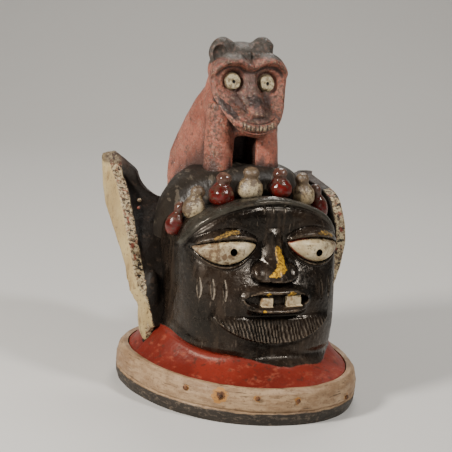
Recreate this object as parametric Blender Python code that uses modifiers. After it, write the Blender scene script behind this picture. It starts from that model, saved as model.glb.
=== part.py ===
"""Gelede mask: a carved wooden head with cupped ears, a row of knobs and a crouching animal on top.

Metres, +Z up, the face looks along -Y, the rim stands on z = 0. The head is a loft of rounded
sections whose front is moved forward by a relief for the eyes, nose, lips and beard; the other
forms are joined to it, and the hollow for the wearer's head is cut last.
"""

import bmesh
import bpy
import numpy as np
from mathutils import Matrix, Vector

OBJECT_NAME = "gelede_mask"
TOUCH_GAP = 0.0003

# Rim hoop and the foot of the collar inside it
HOOP_HALF_WIDTH = 0.1205
HOOP_FRONT = 0.147
HOOP_BACK = 0.115
HOOP_HEIGHT = 0.037
HOOP_THICK = 0.011
HOOP_GAP = 0.0011
HOOP_POWER = 2.15
HOOP_STEPS = 48
GROOVE_HEIGHT = 0.014
GROOVE_DEPTH = 0.0016
FOOT_WALL = 0.016
FOOT_HEIGHT = 0.036
FOOT_HALF_WIDTH = HOOP_HALF_WIDTH - HOOP_THICK - HOOP_GAP
FOOT_FRONT = HOOP_FRONT - HOOP_THICK - HOOP_GAP
FOOT_BACK = HOOP_BACK - HOOP_THICK - HOOP_GAP

# Nails through the hoop into the foot: turning angle from the face and height
NAIL_SPOTS = (
    (-29.3, 0.028),
    (-44.3, 0.029),
    (-14.5, 0.029),
    (2.0, 0.026),
    (30.3, 0.019),
    (-146.0, 0.027),
    (124.0, 0.027),
    (176.0, 0.027),
)
NAIL_RADIUS = 0.0013
NAIL_HEAD_RADIUS = 0.0026
NAIL_HEAD_THICK = 0.0012
NAIL_BITE = 0.008
NAIL_SIDES = 6

# Heights up the face
NECK_LINE = 0.048
NECK_RISE = 0.012
BEARD_TOP = 0.095
MOUTH_HEIGHT = 0.1143
NOSE_BASE = 0.132
NOSE_TIP = 0.139
EYE_HEIGHT = 0.1625
BRIDGE_HEIGHT = 0.174
VAULT_SPRING = 0.1605
VAULT_RISE = 0.052
VAULT_FALL = 0.22

# Head shell: half width, reach to the front and to the back at each height
HEAD_HALF_WIDTH = 0.085
HEAD_CENTRE = -0.010
NECK_HALF_WIDTH = 0.0915
NECK_FRONT = 0.112
NECK_BACK = 0.098
WALL = 0.016

# Head shell stations from the foot to the top of the vault
WIDTH_LINE = (
    (FOOT_HEIGHT, FOOT_HALF_WIDTH),
    (NECK_LINE, NECK_HALF_WIDTH),
    (0.060, 0.0875),
    (0.074, HEAD_HALF_WIDTH),
    (VAULT_SPRING, HEAD_HALF_WIDTH),
)
FRONT_LINE = (
    (FOOT_HEIGHT, FOOT_FRONT),
    (NECK_LINE, NECK_FRONT),
    (0.057, 0.0975),
    (0.064, 0.0965),
    (0.080, 0.0935),
    (0.104, 0.0895),
    (0.122, 0.0860),
    (0.137, 0.0780),
    (0.152, 0.0700),
    (0.170, 0.0660),
    (0.190, 0.0660),
    (0.206, 0.0610),
    (0.2125, 0.0570),
)
BACK_LINE = (
    (FOOT_HEIGHT, FOOT_BACK),
    (NECK_LINE, NECK_BACK),
    (0.070, 0.099),
    (0.150, 0.106),
    (0.190, 0.094),
    (0.2125, 0.070),
)
SQUARE_LINE = (
    (FOOT_HEIGHT, HOOP_POWER),
    (NECK_LINE, 1.9),
    (0.066, 2.8),
    (0.090, 3.3),
    (0.120, 3.3),
    (0.155, 4.0),
    (0.2125, 3.6),
)
SLIM_LINE = (
    (FOOT_HEIGHT, HOOP_POWER),
    (0.055, 1.9),
    (0.080, 1.7),
    (0.120, 1.8),
    (0.155, 2.2),
    (0.2125, 2.2),
)
CENTRE_LINE = ((FOOT_HEIGHT, 0.0), (0.066, HEAD_CENTRE), (0.2125, HEAD_CENTRE))

# Eyes
EYE_OFFSET = 0.0488
EYE_HALF_LENGTH = 0.0312
EYE_SLANT = -0.0026
EYE_STEP = 0.0012
EYE_RISE = 0.0078
EYE_DROP = 0.0165
EYE_BULGE = 0.0125
LID_WIDTH = 0.0062
LID_SWELL = 0.0032
LID_HEIGHT = 0.0052
LID_MOUND = 0.011
LOWER_LID_WIDTH = 0.0035
LOWER_LID_HEIGHT = 0.0022
PUPILS = ((-0.0461, 0.1603), (0.0488, 0.1578))
PUPIL_RADIUS = 0.0033

# Nose
NOSE_PROJECTION = 0.0165
NOSE_SHIFT = 0.0010
NOSE_HALF_BRIDGE = 0.0098
NOSE_HALF_WIDTH = 0.0225
WING_OFFSET = 0.0172
WING_HALF_WIDTH = 0.0085
WING_PROJECTION = 0.0088

# Mouth and beard
MOUTH_HALF_WIDTH = 0.0345
MOUTH_HALF_OPENING = 0.0062
LIP_HALF_HEIGHT = 0.0135
LIP_PROJECTION = 0.0072
LIP_ROLL = 0.0028
LIP_MOUND = 0.0035
MOUTH_DEPTH = 0.009
TOOTH_DEPTH = 0.0036
TOOTH_SPANS = ((-0.0185, -0.0055), (0.0085, 0.0268))
BEARD_HALF_WIDTH = 0.064
BEARD_DROP = 0.024
BEARD_PROJECTION = 0.0065
BEARD_STROKES = 25
BEARD_STROKE_SHARE = 0.86
STROKE_RADIUS = 0.0013
STROKE_FAN = 1.02

# Three cuts on each cheek: offset, height
CHEEK_CUTS = (0.053, 0.064, 0.0745)
CHEEK_CUT_HEIGHT = 0.1215
CHEEK_CUT_LENGTH = 0.021
CHEEK_CUT_WIDTH = 0.0042
CHEEK_CUT_DEPTH = 0.0026

# Brim of hair over the forehead
BRIM_HALF_WIDTH = 0.0052
BRIM_PROJECTION = 0.0052
BRIM_FADE = 0.65

# Hair dome behind the knobs
DOME_TOP = 0.2285
DOME_FOOT = 0.150
DOME_FRONT = -0.021
DOME_BACK = 0.106
DOME_HALF_WIDTH = 0.0835
DOME_CENTRE = 0.030
DOME_SQUARE = 2.5
DOME_SLIM = 2.0

# Knobs
KNOB_STEPS = (-3, -2, -1, 0, 1, 2, 3)
KNOB_ANGLE = 24.0
KNOB_ARC_WIDTH = 0.083
KNOB_ARC_SHIFT = -0.0035
KNOB_ARC_BOW = 0.009
KNOB_ARC_FOOT = 0.1767
KNOB_ARC_RISE = 0.0463
KNOB_TILT = 0.105
KNOB_FORWARD = -0.011
KNOB_FORWARD_BOW = 0.019
KNOB_HEIGHT = 0.037
KNOB_RADIUS = 0.0142
KNOB_SHARES = (
    (0.66, 0.95),
    (0.78, 0.93),
    (0.94, 0.94),
    (0.91, 0.89),
    (0.85, 0.87),
    (0.70, 0.89),
    (0.64, 0.89),
)
KNOB_NUDGES = (0.0010, 0.0030, 0.0035, 0.0005, 0.0, -0.0010, 0.0)
KNOB_SIDES = 10

# Ears: cupped wings beside the head
EAR_FOOT = 0.062
EAR_REACH = 0.1180
EAR_THICK = 0.0135
EAR_HEEL_RADIUS = 0.0118
EAR_HEEL_Y = 0.008
EAR_HEEL_HEIGHT = 0.083
EAR_LEVELS = 25
EAR_VOXEL = 0.0018
EAR_TRIANGLES = 360

# Each ear at its heights: free front edge, outer back corner and root on the head, as (height, size)
RIGHT_EAR = {
    "top": 0.218,
    "front_x": ((EAR_FOOT, 0.0985), (0.078, 0.103), (0.104, 0.1115), (0.130, 0.115), (0.218, 0.116)),
    "front_y": (
        (EAR_FOOT, 0.000),
        (0.085, 0.002),
        (0.104, 0.008),
        (0.130, 0.018),
        (0.157, 0.039),
        (0.182, 0.059),
        (0.199, 0.077),
        (0.207, 0.089),
        (0.218, 0.103),
    ),
    "back_x": ((EAR_FOOT, 0.1005), (0.078, 0.106), (0.100, 0.1165), (0.125, EAR_REACH), (0.218, EAR_REACH)),
    "back_y": (
        (EAR_FOOT, 0.006),
        (0.078, 0.007),
        (0.100, 0.018),
        (0.125, 0.034),
        (0.150, 0.069),
        (0.173, 0.098),
        (0.192, 0.109),
        (0.218, 0.117),
    ),
    "root_x": (
        (EAR_FOOT, 0.080),
        (0.100, 0.076),
        (0.125, 0.070),
        (0.150, 0.062),
        (0.168, 0.052),
        (0.176, 0.058),
        (0.183, 0.068),
        (0.196, 0.080),
        (0.212, 0.090),
        (0.218, 0.104),
    ),
    "root_y": (
        (EAR_FOOT, 0.008),
        (0.100, 0.018),
        (0.125, 0.035),
        (0.150, 0.060),
        (0.168, 0.080),
        (0.183, 0.090),
        (0.212, 0.098),
        (0.218, 0.110),
    ),
}
LEFT_EAR = {
    "top": 0.2065,
    "front_x": ((EAR_FOOT, 0.0985), (0.078, 0.103), (0.104, 0.1125), (0.127, 0.1165), (0.2065, 0.1165)),
    "front_y": (
        (EAR_FOOT, 0.000),
        (0.085, 0.001),
        (0.104, 0.002),
        (0.127, -0.002),
        (0.150, -0.006),
        (0.171, 0.000),
        (0.183, 0.009),
        (0.193, 0.020),
        (0.199, 0.040),
        (0.204, 0.066),
        (0.2065, 0.084),
    ),
    "back_x": ((EAR_FOOT, 0.1005), (0.078, 0.106), (0.100, 0.1165), (0.125, EAR_REACH), (0.2065, EAR_REACH)),
    "back_y": (
        (EAR_FOOT, 0.006),
        (0.078, 0.008),
        (0.100, 0.020),
        (0.125, 0.034),
        (0.150, 0.062),
        (0.171, 0.088),
        (0.190, 0.100),
        (0.2065, 0.106),
    ),
    "root_x": (
        (EAR_FOOT, 0.080),
        (0.100, 0.076),
        (0.125, 0.070),
        (0.150, 0.062),
        (0.168, 0.052),
        (0.176, 0.058),
        (0.186, 0.070),
        (0.198, 0.086),
        (0.2065, 0.102),
    ),
    "root_y": (
        (EAR_FOOT, 0.008),
        (0.100, 0.018),
        (0.125, 0.035),
        (0.150, 0.060),
        (0.168, 0.080),
        (0.186, 0.088),
        (0.2065, 0.098),
    ),
}

# Crouching animal
LEG_SPANS = ((-0.0435, -0.0130), (0.0105, 0.0400))
LEG_HALF_DEPTH = 0.017
LEG_FOOT = 0.210
LEG_TOP = 0.292
LEG_Y = 0.016
LEG_LEANS = (0.0, -0.005)
LEG_TAPER = 0.88
LEG_GAP_TOP = 0.258
LEG_GAP_HALF = 0.0115
LEG_GAP_DEPTH = 0.040
BODY_HALF_WIDTH = 0.0415
BACK_FOOT = 0.160
RUMP_END = HOOP_BACK + 0.002
BACK_TOP_LINE = (
    (0.008, 0.296),
    (0.040, 0.320),
    (0.063, 0.310),
    (0.077, 0.297),
    (0.093, 0.277),
    (0.105, 0.260),
    (RUMP_END, 0.241),
)

# The animal's face. Heights are taken from its chin: half outline as (offset, height), and how far
# forward its plane stands, as (height, reach)
CHIN_HEIGHT = 0.2615
BEAST_CENTRE_HEIGHT = CHIN_HEIGHT + 0.0415
BEAST_OUTLINE = (
    (0.0, 0.0),
    (0.008, 0.0010),
    (0.015, 0.0045),
    (0.021, 0.0090),
    (0.0275, 0.0155),
    (0.033, 0.0235),
    (0.0385, 0.0345),
    (0.0412, 0.0455),
    (0.0428, 0.0575),
    (0.0418, 0.0675),
    (0.0360, 0.0755),
    (0.027, 0.0810),
    (0.017, 0.0840),
    (0.008, 0.0845),
    (0.0, 0.0840),
)
BEAST_PLANE = (
    (0.0005, -0.0075),
    (0.0115, -0.0075),
    (0.0185, -0.0050),
    (0.0265, 0.0015),
    (0.0345, 0.0090),
    (0.0455, 0.0150),
    (0.0575, 0.0180),
    (0.0845, 0.0200),
)
BEAST_FACE_THICK = 0.020
BROW_LINE = (
    (0.0, 0.0690),
    (0.006, 0.0705),
    (0.014, 0.0745),
    (0.024, 0.0748),
    (0.034, 0.0700),
    (0.042, 0.0628),
)
BROW_HALF_WIDTH = 0.0080
BROW_PROJECTION = 0.0098
SNOUT_HALF_WIDTH = (
    (0.0150, 0.0150),
    (0.0225, 0.0125),
    (0.0290, 0.0125),
    (0.0360, 0.0140),
    (0.0420, 0.0145),
    (0.0500, 0.0095),
    (0.0605, 0.0070),
)
SNOUT_PROJECTION = (
    (0.0120, 0.0060),
    (0.0205, 0.0095),
    (0.0265, 0.0120),
    (0.0345, 0.0110),
    (0.0455, 0.0060),
    (0.0625, 0.0025),
)
CHEEK_HOLLOW = 0.0028
MUZZLE_HALF_WIDTH = 0.034
MUZZLE_HALF_HEIGHT = 0.022
MUZZLE_HEIGHT = CHIN_HEIGHT + 0.013
MUZZLE_PROJECTION = 0.0068
BEAST_EYE_OFFSET = 0.019
BEAST_EYE_HEIGHT = CHIN_HEIGHT + 0.0533
BEAST_EYE_STEP = -0.0016
BEAST_EYE_RADIUS = 0.0088
BEAST_EYE_PROJECTION = 0.0056
SOCKET_RADIUS = 0.0140
SOCKET_DEPTH = 0.0034

# Rounded forms that carry the animal's face: name, place (height from the chin), half sizes and turn
# about the X axis
BEAST_FORMS = (
    ("right_shoulder", (-0.022, 0.032, 0.0235), (0.018, 0.024, 0.028), 0),
    ("left_shoulder", (0.020, 0.032, 0.0235), (0.016, 0.024, 0.028), 0),
    ("right_ear", (-0.0222, 0.040, 0.0775), (0.0160, 0.0095, 0.0182), -12),
    ("left_ear", (0.0215, 0.040, 0.0790), (0.0146, 0.0098, 0.0178), -12),
    ("skull", (0.0, 0.046, 0.0605), (0.0340, 0.024, 0.0295), 0),
    ("neck", (0.0, 0.046, 0.0385), (0.0345, 0.026, 0.034), -15),
    ("throat", (0.0, 0.022, 0.0205), (0.026, 0.022, 0.024), -25),
)

# Fineness of the solids
HEAD_COLUMNS = 150
HEAD_ROWS = 120
HEAD_TRIANGLES = 2420
BEAST_VOXEL = 0.0024
BEAST_TRIANGLES = 1350
HOLLOW_COLUMNS = 24
HOLLOW_ROWS = 11


def clear_scene():
    for item in list(bpy.data.objects):
        bpy.data.objects.remove(item, do_unlink=True)


def new_collection(name):
    group = bpy.data.collections.new(name)
    bpy.context.scene.collection.children.link(group)
    return group


def paint(name, colour, roughness, metallic=0.0):
    material = bpy.data.materials.new(name)
    material.use_nodes = True
    shader = material.node_tree.nodes["Principled BSDF"]
    shader.inputs["Base Color"].default_value = (*colour, 1.0)
    shader.inputs["Roughness"].default_value = roughness
    shader.inputs["Metallic"].default_value = metallic
    return material


def solid(name, mesh, group):
    item = bpy.data.objects.new(name, mesh)
    group.objects.link(item)
    return item


def cutter(name, mesh, group):
    item = solid(name, mesh, group)
    item.hide_render = True
    item.display_type = "WIRE"
    return item


def apply_modifiers(item):
    graph = bpy.context.evaluated_depsgraph_get()
    mesh = bpy.data.meshes.new_from_object(item.evaluated_get(graph))
    item.modifiers.clear()
    item.data = mesh


def boolean(item, other, operation):
    step = item.modifiers.new(operation.lower(), "BOOLEAN")
    step.operation = operation
    step.solver = "EXACT"
    step.object = other
    apply_modifiers(item)


def thin_out(item, triangles):
    item.data.calc_loop_triangles()
    step = item.modifiers.new("thin_out", "DECIMATE")
    step.ratio = triangles / len(item.data.loop_triangles)
    apply_modifiers(item)


def smooth_step(low, high, value):
    t = np.clip((value - low) / (high - low), 0.0, 1.0)
    return t * t * (3.0 - 2.0 * t)


def round_hill(t):
    """1 at t = 0, falling smoothly to 0 at |t| = 1."""
    return np.clip(1.0 - t * t, 0.0, 1.0) ** 2


def eased(stations, at):
    """Smooth line through (place, value) stations that never overshoots them."""
    place, value = np.array(stations, float).T
    slope = np.diff(value) / np.diff(place)
    tangent = np.concatenate([slope[:1], (slope[:-1] + slope[1:]) / 2, slope[-1:]])
    for i, s in enumerate(slope):
        limit = 3.0 * abs(s)
        tangent[i] = np.clip(tangent[i], -limit, limit) if tangent[i] * s > 0 else 0.0
        tangent[i + 1] = np.clip(tangent[i + 1], -limit, limit) if tangent[i + 1] * s > 0 else 0.0
    at = np.clip(at, place[0], place[-1])
    k = np.clip(np.searchsorted(place, at) - 1, 0, len(slope) - 1)
    run = place[k + 1] - place[k]
    t = (at - place[k]) / run
    return (
        value[k] * (1 + 2 * t) * (1 - t) ** 2
        + value[k + 1] * t * t * (3 - 2 * t)
        + run * tangent[k] * t * (1 - t) ** 2
        - run * tangent[k + 1] * t * t * (1 - t)
    )


def face_outward(mesh):
    work = bmesh.new()
    work.from_mesh(mesh)
    if work.calc_volume(signed=True) < 0:
        bmesh.ops.reverse_faces(work, faces=work.faces[:])
        work.to_mesh(mesh)
    work.free()
    return mesh


def loft(name, rings, bottom, top):
    """Closed mesh through rings of points, closed by a point below and a point above."""
    rows, columns = rings.shape[:2]
    points = [tuple(bottom)] + [tuple(p) for p in rings.reshape(-1, 3)] + [tuple(top)]
    last = len(points) - 1
    faces = []
    for i in range(columns):
        j = (i + 1) % columns
        faces.append((0, 1 + j, 1 + i))
        faces.append((last, 1 + (rows - 1) * columns + i, 1 + (rows - 1) * columns + j))
        for k in range(rows - 1):
            low = 1 + k * columns
            high = low + columns
            faces.append((low + i, low + j, high + j, high + i))
    mesh = bpy.data.meshes.new(name)
    mesh.from_pydata(points, [], faces)
    mesh.update()
    return face_outward(mesh)


def outline(angle, width, front, back, square, slim):
    """Reach of a rounded section in each direction; angle 0 looks along -Y."""
    ahead = np.cos(angle) > 0
    depth = np.where(ahead, front, back)
    power = np.where(ahead, square, slim)
    along = np.abs(np.cos(angle)) / depth
    across = np.abs(np.sin(angle)) / width
    return (along**power + across**power) ** (-1.0 / power)


def even_angles(columns, back_share):
    """Directions that step evenly along the face and more widely round the back."""
    fine = np.linspace(0, 2 * np.pi, 3601)
    reach = outline(fine, HEAD_HALF_WIDTH, 0.065, 0.12, 3.0, 1.6)
    x, y = reach * np.sin(fine), -reach * np.cos(fine)
    step = np.hypot(np.diff(x), np.diff(y))
    step = step * np.where(np.cos(fine[:-1]) > -0.1, 1.0, back_share)
    along = np.concatenate([[0.0], np.cumsum(step)])
    return np.interp(np.linspace(0, along[-1], columns + 1)[:-1], along, fine)


def shell_section(height, angle, inset):
    """Points of the head shell at one height, moved in by the wall thickness."""
    vault = np.sqrt(np.clip(1.0 - ((height - VAULT_SPRING) / VAULT_RISE) ** 2, 0.0, 1.0))
    vault = np.where(height > VAULT_SPRING, vault, 1.0)
    centre = eased(CENTRE_LINE, height)
    width = eased(WIDTH_LINE, height) * vault - inset
    front = eased(FRONT_LINE, height) + centre - inset
    back = eased(BACK_LINE, height) - centre - inset
    square = eased(SQUARE_LINE, height)
    slim = eased(SLIM_LINE, height)
    reach = outline(angle, width, front, back, square, slim)
    return reach * np.sin(angle), centre - reach * np.cos(angle)


def neck_lift(height, x, y):
    """The neck line is lower at the front than at the sides and the back."""
    near = smooth_step(0.037, NECK_LINE, height) * (1 - smooth_step(NECK_LINE, 0.075, height))
    return NECK_RISE * near * smooth_step(-0.085, -0.020, y)


def eye_relief(x, z):
    u = (np.abs(x) - EYE_OFFSET) / EYE_HALF_LENGTH
    chord = EYE_HEIGHT + EYE_SLANT * u + EYE_STEP * (x > 0)
    open_share = np.clip(1 - u * u, 0.0, 1.0)
    upper = EYE_RISE * open_share**0.8
    lower = EYE_DROP * open_share**0.8
    above = z - chord
    v = np.where(above > 0, above / np.maximum(upper, 1e-5), above / np.maximum(lower, 1e-5))
    swell = EYE_BULGE * open_share**0.5 * np.clip(1 - np.abs(v) ** 2.4, 0.0, 1.0) ** 0.6
    beyond = np.clip((1.06 - np.abs(u)) / 0.12, 0.0, 1.0)
    lid_width = LID_WIDTH + LID_SWELL * open_share
    lid = LID_HEIGHT * round_hill((above - upper - lid_width / 2) / (lid_width * 0.62))
    lid_mound = EYE_BULGE * 0.45 * open_share * round_hill(np.clip((above - upper) / LID_MOUND, 0, 1))
    low = LOWER_LID_HEIGHT * round_hill((-above - lower - LOWER_LID_WIDTH / 2) / (LOWER_LID_WIDTH * 0.8))
    return swell * (np.abs(u) < 1) + (lid + low) * beyond + lid_mound * (above > upper)


def nose_relief(x, z):
    """Wedge that widens from the bridge to the nostrils, with a rounded wing on each side."""
    a = np.abs(x - NOSE_SHIFT)
    half = eased(
        (
            (NOSE_BASE, NOSE_HALF_WIDTH),
            (NOSE_TIP + 0.003, NOSE_HALF_WIDTH * 0.92),
            (0.154, 0.0140),
            (BRIDGE_HEIGHT, NOSE_HALF_BRIDGE),
        ),
        z,
    )
    rise = eased(
        (
            (NOSE_BASE - 0.003, 0.0),
            (NOSE_BASE + 0.001, NOSE_PROJECTION * 0.94),
            (NOSE_TIP, NOSE_PROJECTION),
            (0.152, 0.0108),
            (0.165, 0.0066),
            (BRIDGE_HEIGHT, 0.0048),
            (BRIDGE_HEIGHT + 0.0075, 0.0),
        ),
        z,
    )
    ridge = rise * np.clip(1 - (a / half) ** 1.5, 0.0, 1.0) ** 0.8
    side = (a - WING_OFFSET) / WING_HALF_WIDTH
    up = (z - NOSE_TIP + 0.001) / np.where(z > NOSE_TIP - 0.001, 0.0105, 0.0068)
    ala = WING_PROJECTION * np.clip(1 - side**2 - up**2, 0.0, 1.0) ** 0.5
    return np.maximum(ridge, ala)


def mouth_relief(x, z):
    u = x / (MOUTH_HALF_WIDTH + 0.004)
    v = (z - MOUTH_HEIGHT + 0.0005) / LIP_HALF_HEIGHT
    inside = np.clip(1 - np.abs(u) ** 3.0 - np.abs(v) ** 2.5, 0.0, 1.0)
    lips = LIP_PROJECTION * inside**0.65
    roll = LIP_ROLL * np.clip(1 - u * u, 0.0, 1.0) * round_hill((np.abs(v) - 0.70) / 0.30)
    mound = LIP_MOUND * round_hill(np.clip(np.hypot(x / 0.058, (z - MOUTH_HEIGHT + 0.0020) / 0.026), 0, 1))
    return lips + roll + mound


def mouth_opening(x, z):
    """Depth of the carved opening between the lips, less in front of the teeth."""
    u = x / MOUTH_HALF_WIDTH
    half = MOUTH_HALF_OPENING * np.clip(1 - np.abs(u) ** 4, 0.0, 1.0) ** 0.5
    inside = smooth_step(-0.0005, 0.0007, half - np.abs(z - MOUTH_HEIGHT + 0.0005)) * (np.abs(u) < 1)
    depth = np.full_like(x, MOUTH_DEPTH)
    for start, end in TOOTH_SPANS:
        tooth = smooth_step(start - 0.0004, start + 0.0008, x)
        tooth = tooth * (1 - smooth_step(end - 0.0008, end + 0.0004, x))
        depth = depth - (MOUTH_DEPTH - TOOTH_DEPTH) * tooth
    return depth * inside


def beard_lower_edge(x):
    return BEARD_TOP - BEARD_DROP * np.clip(1 - (x / BEARD_HALF_WIDTH) ** 2, 0.0, 1.0) ** 0.75


def beard_relief(x, z):
    low = beard_lower_edge(x)
    span = np.maximum(BEARD_TOP - low, 1e-5)
    t = (BEARD_TOP - z) / span
    inside = np.clip(1 - (x / BEARD_HALF_WIDTH) ** 4, 0.0, 1.0) ** 0.5
    rise = 0.0018 + (BEARD_PROJECTION - 0.0018) * np.clip(t, 0, 1)
    edge = smooth_step(-0.0012, 0.0008, z - low) * (1 - smooth_step(BEARD_TOP - 0.001, BEARD_TOP + 0.002, z))
    return rise * edge * inside


def face_relief(x, z):
    relief = eye_relief(x, z) + nose_relief(x, z) + mouth_relief(x, z) + beard_relief(x, z)
    return relief - mouth_opening(x, z)


def brim_height(x):
    return VAULT_SPRING + VAULT_RISE * np.sqrt(np.clip(1 - (x / HEAD_HALF_WIDTH) ** 2, 0.0, 1.0)) - 0.0045


def head_points(columns, rows, back_share):
    angle = even_angles(columns, back_share)
    low_rows = np.array([0.0, FOOT_HEIGHT * 0.5, FOOT_HEIGHT])
    high = np.linspace(0.040, VAULT_SPRING + VAULT_RISE - 0.0004, rows)
    heights = np.concatenate([low_rows, high])
    rings = np.zeros((len(heights), columns, 3))
    for k, height in enumerate(heights):
        x, y = shell_section(np.full(columns, max(height, FOOT_HEIGHT)), angle, 0.0)
        z = height + neck_lift(height, x, y)
        behind = np.clip(y + eased(FRONT_LINE, np.array(height)), 0.0, 0.06)
        z = z - VAULT_FALL * behind * smooth_step(0.180, VAULT_SPRING + VAULT_RISE, height)
        ahead = smooth_step(0.0, 0.35, np.cos(angle))
        y = y - ahead * face_relief(x, z) * (z > 0.06)
        rise = (z - brim_height(x)) / BRIM_HALF_WIDTH
        brim = BRIM_PROJECTION * round_hill(rise) * smooth_step(0.0, 0.2, np.cos(angle)) * (z > 0.150)
        brim = brim * (1 - BRIM_FADE * smooth_step(0.050, 0.080, np.abs(x)))
        x = x * (1 + brim / 0.085)
        y = y - brim * np.clip(np.cos(angle) * 1.4, 0, 1)
        rings[k] = np.stack([x, y, z], axis=1)
    return rings


def head_mesh(columns, rows, back_share):
    rings = head_points(columns, rows, back_share)
    top = (0.0, HEAD_CENTRE, VAULT_SPRING + VAULT_RISE - VAULT_FALL * 0.047)
    return loft("head_shell", rings, (0.0, 0.0, 0.0), top)


def face_point(x, height, proud):
    """Point of the face at an offset from the middle and a height, standing proud by a little."""
    angle = np.linspace(-np.pi / 2, np.pi / 2, 801)
    across, along = shell_section(np.full(801, height), angle, 0.0)
    relief = float(face_relief(np.array([x]), np.array([height]))[0])
    return Vector((x, float(np.interp(x, across, along)) - relief - proud, height))


def beard_strokes():
    """Grooves down the beard, closer to upright in the middle."""
    strokes = []
    reach = BEARD_HALF_WIDTH * BEARD_STROKE_SHARE
    for x in np.linspace(-reach, reach, BEARD_STROKES):
        low = float(beard_lower_edge(np.array(x))) + STROKE_RADIUS
        high = BEARD_TOP - STROKE_RADIUS
        start = face_point(x, low, 0.0)
        end = face_point(x * STROKE_FAN, high, 0.0)
        strokes.append(rod("stroke", start, end, STROKE_RADIUS, 4))
    return strokes


def dome_mesh(columns, rows):
    """Hair dome: flat towards the knobs, sloping down to the back."""
    angle = np.linspace(0, 2 * np.pi, columns + 1)[:-1]
    rings = []
    for t in np.linspace(0.0, 0.985, rows):
        rise = DOME_FOOT + (DOME_TOP - DOME_FOOT) * np.sin(t * np.pi / 2) ** 0.9
        share = np.cos(t * np.pi / 2) ** 0.55
        centre = DOME_CENTRE - 0.012 * t
        width = DOME_HALF_WIDTH * share
        front = (centre - DOME_FRONT) * (0.35 + 0.65 * share)
        back = (DOME_BACK - centre) * share**1.1
        reach = outline(angle, width, front, back, DOME_SQUARE, DOME_SLIM)
        x, y = reach * np.sin(angle), centre - reach * np.cos(angle)
        rings.append(np.stack([x, y, rise + KNOB_TILT * 0.5 * x * t], axis=1))
    return loft("hair_dome", np.array(rings), (0, DOME_CENTRE, DOME_FOOT), (0, DOME_CENTRE - 0.012, DOME_TOP))


def hollow_mesh(columns, rows):
    """Room for the wearer's head: the shell moved in by the wall, open below."""
    angle = np.linspace(0, 2 * np.pi, columns + 1)[:-1]
    foot = -0.010
    heights = np.concatenate([[foot, FOOT_HEIGHT], np.linspace(0.052, 0.186, rows)])
    rings = []
    for height in heights:
        level = np.full(columns, max(height, FOOT_HEIGHT))
        dome = np.sqrt(np.clip(1 - ((height - 0.130) / 0.058) ** 2, 0.0, 1.0)) if height > 0.130 else 1.0
        inset = FOOT_WALL if height <= FOOT_HEIGHT else WALL
        x, y = shell_section(np.minimum(level, VAULT_SPRING), angle, inset)
        y = HEAD_CENTRE + (y - HEAD_CENTRE) * dome
        rings.append(np.stack([x * dome, y, np.full(columns, height)], axis=1))
    return loft("hollow", np.array(rings), (0, 0, foot), (0, HEAD_CENTRE, 0.188))


def turned(name, profile, sides, place, lean):
    """Solid of revolution through (radius, height) points, standing at a place."""
    angle = np.linspace(0, 2 * np.pi, sides + 1)[:-1]
    rings = [
        np.stack([r * np.cos(angle), r * np.sin(angle), np.full(sides, h)], axis=1) for r, h in profile[1:-1]
    ]
    mesh = loft(name, np.array(rings), (0, 0, profile[0][1]), (0, 0, profile[-1][1]))
    mesh.transform(Matrix.Translation(Vector(place)) @ lean)
    return mesh


def knob_place(step):
    """Middle, turn, radius and half height of one knob."""
    angle = np.radians(KNOB_ANGLE * step)
    bow = np.cos(angle)
    x = KNOB_ARC_WIDTH * np.sin(angle) + KNOB_ARC_SHIFT - KNOB_ARC_BOW * bow
    y = KNOB_FORWARD - KNOB_FORWARD_BOW * bow
    z = KNOB_ARC_FOOT + KNOB_ARC_RISE * bow + KNOB_TILT * x
    width, height = KNOB_SHARES[step + 3]
    sink = KNOB_HEIGHT * (1 - height) / 2
    place = Vector((x + KNOB_NUDGES[step + 3], y, z - sink))
    return place, angle, KNOB_RADIUS * width, KNOB_HEIGHT * height / 2


def knob_mesh(step, sides):
    """A bulb with a smaller one on top."""
    place, angle, radius, half = knob_place(step)
    profile = (
        (0, -half),
        (radius * 0.62, -half * 0.92),
        (radius, -half * 0.45),
        (radius * 0.85, half * 0.02),
        (radius * 0.56, half * 0.28),
        (radius * 0.62, half * 0.62),
        (radius * 0.36, half * 0.94),
        (0, half),
    )
    lean = Matrix.Rotation(-angle * 0.22, 4, "Y")
    return turned(f"knob_{step + 4}", profile, sides, place, lean)


def ear_corners(form, height):
    """Free edge, outer back corner and root of a cupped ear at one height."""
    free = np.array([eased(form["front_x"], height), eased(form["front_y"], height)])
    corner = np.array([eased(form["back_x"], height), eased(form["back_y"], height)])
    root = np.array([eased(form["root_x"], height), eased(form["root_y"], height)])
    return free, corner, root


def ear_mesh(name, side, form, across, levels):
    """Sheet from the free edge round the back corner to the root on the head."""
    points = []
    for t in np.linspace(0, 1, levels):
        height = EAR_FOOT + (form["top"] - EAR_FOOT) * t
        free, corner, root = ear_corners(form, np.array(height))
        for s in np.linspace(0, 1, 2 * across + 1):
            plate = free + (corner - free) * min(2 * s, 1.0)
            web = (root - corner) * max(2 * s - 1, 0.0)
            x, y = plate + web
            points.append((side * x, y, height))
    columns = 2 * across + 1
    faces = []
    for k in range(levels - 1):
        for i in range(columns - 1):
            low = k * columns + i
            faces.append((low, low + 1, low + 1 + columns, low + columns)[::side])
    mesh = bpy.data.meshes.new(name)
    mesh.from_pydata(points, [], faces)
    mesh.update()
    return mesh


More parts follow.
